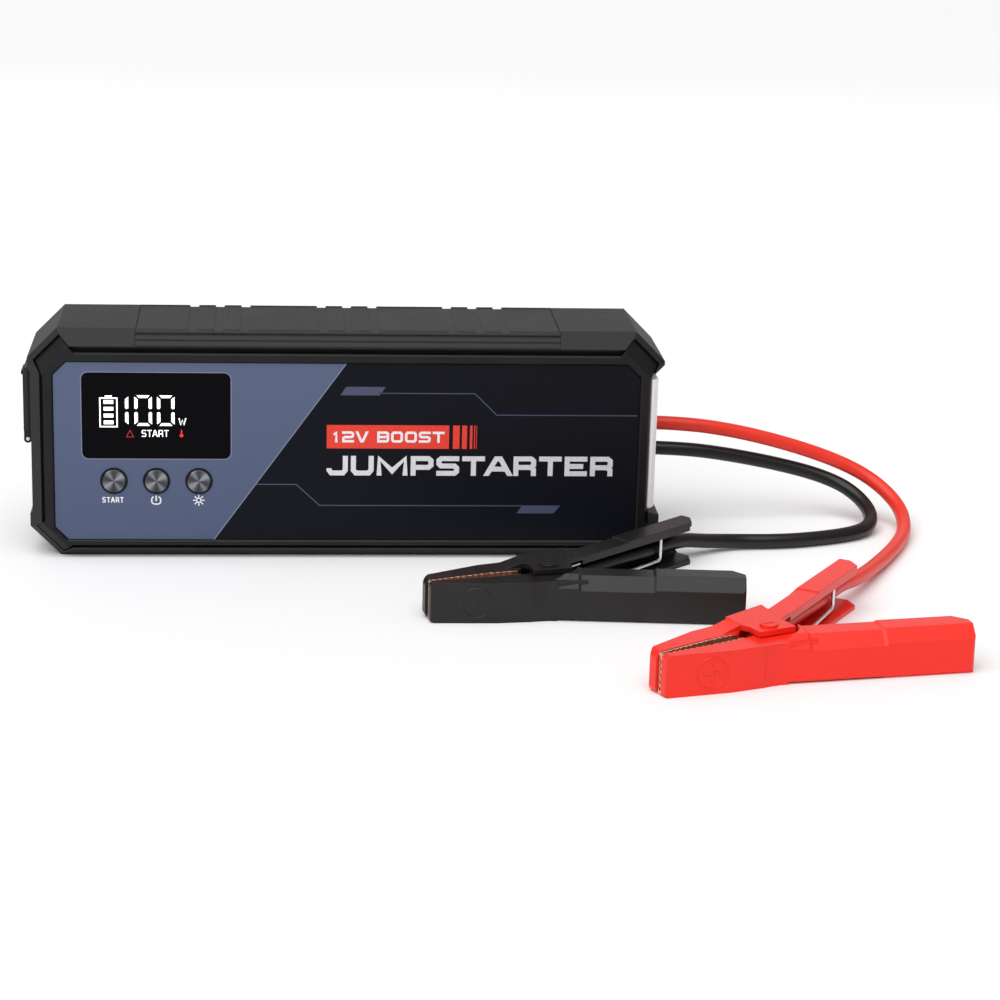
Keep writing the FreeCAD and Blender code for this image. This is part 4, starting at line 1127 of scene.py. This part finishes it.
@dataclass
class Display:
    """Lit signs behind the black window: battery gauge, three digits and small signs."""

    front: float = -27.78
    digit_low: float = 57.2
    digit_high: float = 70.2
    digit_wide: float = 7.2
    stroke: float = 1.35

    def build(self) -> None:
        """Lays all lit shapes on the window."""
        self.gauge()
        self.digits()
        self.small_signs()

    def gauge(self) -> None:
        """Battery outline with four bars and a nub."""
        left, right, low, high = -102.9, -95.4, 56.5, 69.2
        wall = 0.55
        frame_bars = [(left, right, low, low + wall), (left, right, high - wall, high),
                      (left, left + wall, low + wall, high - wall), (right - wall, right, low + wall, high - wall),
                      (left + 2.3, right - 2.3, high, high + 0.85)]
        step = (high - low - 2 * wall) / 4
        for index in range(4):
            base = low + wall + index * step
            frame_bars.append((left + 1.75, right - 1.75, base + 0.75, base + step - 0.55))
        self.lit("display_gauge", [[(a, c), (b, c), (b, d), (a, d)] for a, b, c, d in frame_bars], Finishes.lit_white)

    def lit(self, name: str, outlines: Iterable[Sequence[Point2]], finish: Finish) -> None:
        """Lays lit shapes on the window."""
        flat_print(name, outlines, self.front, finish, 0.02)

    def digits(self) -> None:
        """The reading, in segments with slanting ends."""
        outlines: list[list[Point2]] = []
        for left, lit in ((-98.2, "bc"), (-88.5, "abcdef"), (-79.2, "abcdef")):
            outlines += [self.segment(left, name) for name in lit]
        self.lit("display_digits", outlines, Finishes.lit_white)
        lettering("display_unit", "W", (-70.4, -67.2, 57.3, 60.5), self.front, Finishes.lit_white, 0.17, 0, 0.02)

    def segment(self, left: float, name: str) -> list[Point2]:
        """Outline of one segment of a digit.

        Args:
            left: the digit's left edge.
            name: the segment's letter, a to f.

        Returns:
            Its closed outline in X and Z.
        """
        right = left + self.digit_wide
        low, high, stroke = self.digit_low, self.digit_high, self.stroke
        middle = (low + high) / 2
        shapes = {
            "a": [(left + 0.9, high), (right - 0.9, high), (right - 1.9, high - stroke * 0.85),
                  (left + 1.9, high - stroke * 0.85)],
            "d": [(left + 0.9, low), (right - 0.9, low), (right - 1.9, low + stroke * 0.85),
                  (left + 1.9, low + stroke * 0.85)],
            "b": [(right, high - 0.6), (right, middle + 0.9), (right - stroke * 0.6, middle + 0.6),
                  (right - stroke, middle + 1.2), (right - stroke, high - 1.7)],
            "c": [(right, low + 0.6), (right, middle - 0.9), (right - stroke * 0.6, middle - 0.6),
                  (right - stroke, middle - 1.2), (right - stroke, low + 1.7)],
        }
        shapes["f"] = [(left + right - x, z) for x, z in shapes["b"]]
        shapes["e"] = [(left + right - x, z) for x, z in shapes["c"]]
        return shapes[name]

    def small_signs(self) -> None:
        """Word, fault triangle and temperature sign."""
        lettering("display_word", "START", (-85.6, -74.5, 52.5, 55.4), self.front, Finishes.lit_white, 0.13, 0.25, 0.02)
        outer = [(-91.9, 52.4), (-88.9, 52.4), (-90.4, 55.3)]
        band = LabelPanel().band(*outer, outer[0], width=0.38)
        self.lit("display_fault", band, Finishes.dim_red)
        bulb = [(-69.2 + 0.75 * math.cos(a), 53.1 + 0.75 * math.sin(a))
                for a in [math.radians(index * 30) for index in range(12)]]
        stem = [(-69.45, 53.5), (-68.95, 53.5), (-69.0, 55.5), (-69.4, 55.5)]
        self.lit("display_heat", [bulb], Finishes.lit_red)
        self.lit("display_heat_stem", [stem], Finishes.lit_red)


@dataclass
class Buttons:
    """Three turned metal buttons in dark rings."""

    columns: dict[str, float] = field(default_factory=lambda: {"start_button": -97.3, "power_button": -79.7,
                                                               "light_button": -62.1})
    height: float = 33.4

    def dress(self) -> None:
        """Gives each cap its turned finish, centred on it."""
        for name, x in self.columns.items():
            dress(BrushedCap(name + "_metal", (x * MM, -0.028, self.height * MM)), name)
        dress(Finishes.ring, "button_rings")


@dataclass
class Inside:
    """Everything the shells hide, and the lens."""

    def dress(self) -> None:
        """Gives every hidden piece its finish."""
        dress(Finishes.window, "display_window")
        dress(Finishes.label, "rear_label")
        dress(Finishes.board, "control_board", "main_board", "light_board", "port_board")
        dress(Finishes.relay, "display_module", "power_relay")
        dress(Finishes.steel, "tact_switches", "board_screws", "usb_a_port", "usb_c_port", "port_hinge_pin")
        dress(Finishes.can, "capacitors")
        dress(Finishes.foil, "battery_cell_1", "battery_cell_2", "battery_cell_3", "battery_cell_4")
        dress(Finishes.foam, "battery_foam")
        dress(Finishes.copper, "busbar_positive", "busbar_negative")
        dress(Finishes.led, "light_leds")
        dress(Finishes.socket, "output_socket")
        dress(Finishes.brass, "socket_contacts", "plug_pins")

    def build(self) -> None:
        """Rounds the lens and the plug."""
        softened("light_lens", Body.PACK, Finishes.lens, 0.5)
        softened("plug_housing", Body.PLUG, Finishes.plug, 0.35, joined=False)
        softened("cable_boots", Body.PLUG, Finishes.boot, 0.15)


# ---------------------------------------------------------------- the lead
@dataclass
class Clamp:
    """One hand clamp: two levers, toothed jaws, pivot and spring."""

    colour: ClampColour
    pivot: Point2
    heading: float
    near_turn: float = 16.0
    far_turn: float = 32.0
    near_heel: Point2 = (3.0, 13.5)
    far_heel: Point2 = (0.0, 16.0)
    coil_radius: float = 3.9
    wire: float = 1.6

    @property
    def jaw_body(self) -> Body:
        """The body of the moving lever."""
        return Body.BLACK_JAW if self.colour is ClampColour.BLACK else Body.RED_JAW

    def piece(self, name: str) -> str:
        """Full name of one of this clamp's pieces."""
        return f"{self.colour.value}_{name}"

    def world(self, x: float, y: float, z: float) -> Vector:
        """Point of the clamp's own drawing, in metres in the shared frame."""
        turn = Matrix.Rotation(math.radians(self.heading), 3, "Z")
        return (turn @ Vector((x, y, z)) + Vector((*self.pivot, 0))) * MM

    def along(self, heel: Point2, turn: float, distance: float, depth: float) -> Point2:
        """Point beside a handle: distance along its outer skin, depth in from it."""
        angle = math.radians(turn)
        return (-heel[0] + distance * math.cos(angle) + depth * math.sin(angle),
                heel[1] + distance * math.sin(angle) - depth * math.cos(angle))

    @property
    def skin(self) -> Finish:
        """The finish of its plastic."""
        return Finishes.black_clamp if self.colour is ClampColour.BLACK else Finishes.red_clamp

    def build(self) -> None:
        """Makes the levers' rounded bodies and the spring."""
        softened(self.piece("far_lever"), Body.PACK, self.skin, 0.35)
        softened(self.piece("near_lever"), self.jaw_body, self.skin, 0.35)
        self.build_coils()
        self.build_loops()

    def dress(self) -> None:
        """Finishes the metal pieces."""
        dress(Finishes.copper, self.piece("far_jaw"), self.piece("near_jaw"), self.piece("cable_lug"))
        dress(self.skin, self.piece("pivot_pin"))

    def build_coils(self) -> None:
        """Winds the two coils round the pivot."""
        spread = Spread(self.piece("coil_spread"), {
            "Coil Radius": self.coil_radius * MM, "Wire Radius": self.wire / 2 * MM, "Coil Height": 1.65 * MM})
        coil = spread.add("GeometryNodeCurveSpiral", {}, {"Resolution": 36, "Rotations": 2.0,
                                                          "Start Radius": spread.size("Coil Radius"),
                                                          "End Radius": spread.size("Coil Radius"),
                                                          "Height": spread.size("Coil Height")})
        profile = spread.add("GeometryNodeCurvePrimitiveCircle", {}, {"Resolution": 12,
                                                                      "Radius": spread.size("Wire Radius")})
        body = spread.add("GeometryNodeCurveToMesh", {}, {"Curve": coil, "Profile Curve": profile, "Fill Caps": True})
        many = spread.add("GeometryNodeInstanceOnPoints", {}, {"Points": spread.entry.outputs[0], "Instance": body})
        seeds = bpy.data.meshes.new(self.piece("coil_seeds"))
        seeds.from_pydata([self.world(0, 0, 6.2), self.world(0, 0, 11.55)], [], [])
        obj = spread.grow(self.piece("spring_coils"), seeds, many, Finishes.spring)
        obj.data.shade_smooth()
        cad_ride(obj, Body.PACK)
        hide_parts(self.piece("spring"))

    def leg(self, far: Point2, side: float, corner: float) -> tuple[Point2, Point2]:
        """Where a straight leg touches its coil and where it starts to bend.

        Args:
            far: the crossing that the leg runs to.
            side: which side of the coil it leaves, -1 or 1.
            corner: how far before the crossing it bends.

        Returns:
            The touching point and the bend's start, in the clamp's drawing.
        """
        reach = math.hypot(*far)
        turn = math.atan2(far[1], far[0]) + side * math.acos(self.coil_radius / reach)
        touch = (self.coil_radius * math.cos(turn), self.coil_radius * math.sin(turn))
        return touch, ((touch[0] - far[0]) / reach * corner + far[0], (touch[1] - far[1]) / reach * corner + far[1])

    def wire_loop(self, name: str, far: Point2, heights: tuple[float, float, float, float],
                  high_side: float = -1.0) -> bpy.types.Object:
        """Bent wire from one coil to the other by way of a crossing.

        Args:
            name: the piece's name.
            far: where it crosses, in the clamp's drawing.
            heights: at the low coil, the crossing's two ends, and the high coil.
            high_side: which side of the high coil its leg leaves.

        Returns:
            The wire as a plain mesh.
        """
        low_coil, low_end, high_end, high_coil = heights
        rise = high_end - low_end
        corner = min(4.0, rise)
        touch, back = self.leg(far, -1.0, corner)
        high_touch, high_back = self.leg(far, high_side, corner)
        upright = [(*far, low_end + corner), (*far, high_end - corner)] if rise > 2 * corner else []
        route = [(*touch, low_coil), (*back, low_end), (*far, low_end), *upright, (*far, high_end),
                 (*high_back, high_end), (*high_touch, high_coil)]
        wire = smooth_line(name, [self.world(*spot) for spot in route], 10)
        wire.data.bevel_depth = self.wire / 2 * MM
        wire.data.bevel_resolution = 3
        wire.data.use_fill_caps = True
        wire = applied(wire)
        bm = bmesh.new()
        bm.from_mesh(wire.data)
        bmesh.ops.remove_doubles(bm, verts=bm.verts, dist=SAME_POINT)
        bm.to_mesh(wire.data)
        bm.free()
        return wear(wire, Finishes.spring)

    def build_loops(self) -> None:
        """Bends the bail in the far handle and the loop that pushes the near one."""
        bail = self.wire_loop(self.piece("spring_bail"), self.along(self.far_heel, self.far_turn, 66, 10.4),
                              (6.2, 4.4, 15.7, 13.2), 1.0)
        bail.data.shade_smooth()
        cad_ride(bail, Body.PACK)
        near = self.along(self.near_heel, self.near_turn, 27, 3.3)
        loop = self.wire_loop(self.piece("spring_loop"), (near[0], -near[1]), (7.85, 7.6, 11.8, 11.55))
        loop.data.shade_smooth()
        self.world(4.0, -4.0, 10)
        self.world(17.0, -13.0, 10)
        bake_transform(loop)


@dataclass
class Cable:
    """One silicone cable, from the plug's boot to the lug in its clamp."""

    colour: ClampColour
    clamp: Clamp
    free: tuple[Point3, ...]
    channel: tuple[Point3, ...] = ((84.0, 6.0, 8.8), (60.0, 6.2, 8.0), (34.0, 5.8, 8.5), (10.0, 5.8, 8.5))
    diameter: float = 6.2
    sides: int = 28

    def route(self) -> list[Vector]:
        """The cable's control points, in metres."""
        points = [Vector(p) * MM for p in self.free]
        for distance, depth, z in self.channel:
            x, y = self.clamp.along(self.clamp.far_heel, self.clamp.far_turn, distance, depth)
            points.append(self.clamp.world(x, y, z))
        return points

    def centreline(self) -> list[Vector]:
        """Points along the cable's smooth line."""
        line = applied(smooth_line(self.colour.value + "_line", self.route(), 16))
        points = [v.co.copy() for v in line.data.vertices]
        bpy.data.objects.remove(line)
        kept = [points[0]]
        for point in points[1:]:
            if (point - kept[-1]).length > 10 * SAME_POINT:
                kept.append(point)
        return kept

    def build(self) -> None:
        """Sweeps the jacket in place of the CAD cable and reports its length."""
        points = self.centreline()
        obj = self.swept(points)
        length = sum((b - a).length for a, b in zip(points, points[1:]))
        start = points[0] + Vector((0.004, 0, 0))
        start + Vector((0.055, -0.05, 0))
        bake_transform(obj)
        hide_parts(self.colour.value + "_cable")
        pieces = [NODES[self.clamp.piece(name)] for name in ("far_jaw", "near_jaw", "pivot_pin", "cable_lug")]
        pieces += [bpy.data.objects[self.clamp.piece(name)] for name in
                   ("far_lever_soft", "near_lever_soft", "spring_coils", "spring_bail", "spring_loop")]
        pieces += [bpy.data.objects["plug_housing_soft"], bpy.data.objects["cable_boots_soft"], NODES["plug_pins"]]
        LOG.info("cable %s, %.0f mm", self.colour.value, length / MM)

    def swept(self, points: list[Vector]) -> bpy.types.Object:
        """Round tube along a line, with closed ends.

        Args:
            points: the line.

        Returns:
            The tube.
        """
        bm = bmesh.new()
        radius = self.diameter / 2 * MM
        side = Vector((0, 0, 1))
        rings = []
        for index, point in enumerate(points):
            ahead = (points[min(index + 1, len(points) - 1)] - points[max(index - 1, 0)]).normalized()
            side = (side - ahead * side.dot(ahead)).normalized()
            other = ahead.cross(side)
            ring = []
            for step in range(self.sides):
                angle = 2 * math.pi * step / self.sides
                ring.append(bm.verts.new(point + (side * math.cos(angle) + other * math.sin(angle)) * radius))
            rings.append(ring)
        for one, two in zip(rings, rings[1:]):
            for step in range(self.sides):
                after = (step + 1) % self.sides
                bm.faces.new((one[step], one[after], two[after], two[step]))
        bm.faces.new(list(reversed(rings[0])))
        bm.faces.new(rings[-1])
        bmesh.ops.recalc_face_normals(bm, faces=bm.faces)
        obj = from_bmesh(self.colour.value + "_cable_jacket", bm, 50)
        finish = Finishes.black_cable if self.colour is ClampColour.BLACK else Finishes.red_cable
        return wear(obj, finish)


# ---------------------------------------------------------------- studio
@dataclass
class Studio:
    """Pale floor, soft lights and the camera."""

    lens: float = 100.83
    yaw: float = 4.776
    pitch: float = 16.040
    roll: float = -1.4727
    surround: float = 0.36
    backdrop: float = 1.05
    sun_power: float = 2.55
    sun_spread: float = 70.0
    stand: Point3 = (-0.03038, -1.15889, 0.35193)

    def build(self) -> None:
        """Sets up floor, world, lights and camera."""
        self.lay_floor()
        self.light_world()
        self.hang_lights()
        self.aim_camera()

    def lay_floor(self) -> None:
        """A wide plain floor under the object."""
        bm = bmesh.new()
        bmesh.ops.create_grid(bm, x_segments=2, y_segments=2, size=40.0)
        obj = wear(from_bmesh("studio_floor", bm), Finishes.floor)

    def light_world(self) -> None:
        """Even white surroundings, shown without a film curve."""
        bpy.context.scene.view_settings.view_transform = "Standard"
        world = bpy.data.worlds.new("studio")
        world.use_nodes = True
        tree = world.node_tree
        tree.nodes.clear()
        lit, seen = (tree.nodes.new("ShaderNodeBackground") for _ in range(2))
        for background, strength in ((lit, self.surround), (seen, self.backdrop)):
            background.inputs[0].default_value = (1, 1, 1, 1)
            background.inputs[1].default_value = strength
        either = tree.nodes.new("ShaderNodeMixShader")
        path = tree.nodes.new("ShaderNodeLightPath")
        output = tree.nodes.new("ShaderNodeOutputWorld")
        tree.links.new(path.outputs["Is Camera Ray"], either.inputs[0])
        tree.links.new(lit.outputs[0], either.inputs[1])
        tree.links.new(seen.outputs[0], either.inputs[2])
        tree.links.new(either.outputs[0], output.inputs[0])
        bpy.context.scene.world = world

    def softbox(self, name: str, place: Point3, aim: Point3, size: Point2, power: float) -> None:
        """One rectangular soft light.

        Args:
            name: the light's name.
            place: where it hangs.
            aim: what it points at.
            size: its width and height.
            power: its power in watts.
        """
        light = bpy.data.lights.new(name, "AREA")
        light.shape = "RECTANGLE"
        light.size, light.size_y = size
        light.energy = power
        obj = bpy.data.objects.new(name, light)
        obj.location = place
        obj.rotation_euler = (Vector(aim) - Vector(place)).to_track_quat("-Z", "Y").to_euler()
        bpy.context.scene.collection.objects.link(obj)

    def hang_lights(self) -> None:
        """One broad even light from above, a key from the left front and a strip over the back."""
        sky = bpy.data.lights.new("overhead", "SUN")
        sky.energy = self.sun_power
        sky.angle = math.radians(self.sun_spread)
        lamp = bpy.data.objects.new("overhead", sky)
        lamp.rotation_euler = (math.radians(22), math.radians(-14), 0)
        bpy.context.scene.collection.objects.link(lamp)
        self.softbox("key", (-0.7, -1.3, 0.9), (0.0, 0, 0.04), (0.7, 0.5), 2.5)
        self.softbox("back_strip", (0.1, 1.3, 0.62), (0.05, 0, 0.08), (2.2, 0.45), 1.6)

    def aim_camera(self) -> None:
        """The camera, from its yaw, pitch and roll."""
        yaw, pitch, roll = (math.radians(a) for a in (self.yaw, self.pitch, self.roll))
        ahead = Vector((math.sin(yaw) * math.cos(pitch), math.cos(yaw) * math.cos(pitch), -math.sin(pitch)))
        right = Vector((math.cos(yaw), -math.sin(yaw), 0))
        down = ahead.cross(right)
        level = right * math.cos(roll) + down * math.sin(roll)
        down = down * math.cos(roll) - right * math.sin(roll)
        data = bpy.data.cameras.new("camera")
        data.lens = self.lens
        data.sensor_width = 36.0
        data.clip_end = 50.0
        camera = bpy.data.objects.new("camera", data)
        turn = Matrix((level, -down, -ahead)).transposed().to_4x4()
        camera.matrix_world = Matrix.Translation(self.stand) @ turn
        bpy.context.scene.collection.objects.link(camera)
        bpy.context.scene.camera = camera


def main() -> None:
    """Builds every sub-assembly in order and reports each piece."""
    logging.basicConfig(level=logging.INFO, format="%(name)s: %(message)s")
    shell = RubberShell()
    shell.build()
    shell.dress()
    RearScrews().build()
    LabelPanel().build()
    Display().build()
    Buttons().dress()
    inside = Inside()
    inside.build()
    inside.dress()
    black = Clamp(ClampColour.BLACK, (78.3, -98.0), 11.0)
    red = Clamp(ClampColour.RED, (154.3, -173.5), 25.5)
    for clamp in (black, red):
        clamp.build()
        clamp.dress()
    Cable(ClampColour.BLACK, black, ((122.5, 37.0, 31.6), (148.0, 37.0, 31.6), (177.0, 39.6, 27.0), (206.0, 40.4, 20.6),
                                     (222.5, 37.1, 15.3), (230.6, 29.0, 10.4), (233.5, 18.0, 6.4), (230.6, 7.0, 4.1),
                                     (222.5, -1.1, 3.3), (206.0, -8.5, 3.2), (187.0, -13.5, 3.3), (166.0, -14.2, 3.6),
                                     (152.5, -21.6, 5.8))).build()
    Cable(ClampColour.RED, red, ((122.5, 37.0, 43.2), (148.0, 37.0, 43.2), (179.0, 38.6, 38.2), (212.0, 39.5, 28.8),
                                 (234.5, 37.0, 19.4), (247.0, 24.0, 9.5), (246.0, 3.0, 3.7), (236.0, -22.0, 3.3),
                                 (222.0, -50.0, 4.2), (208.0, -77.0, 6.6))).build()
    Studio().build()


if __name__ == "__main__":
    main()
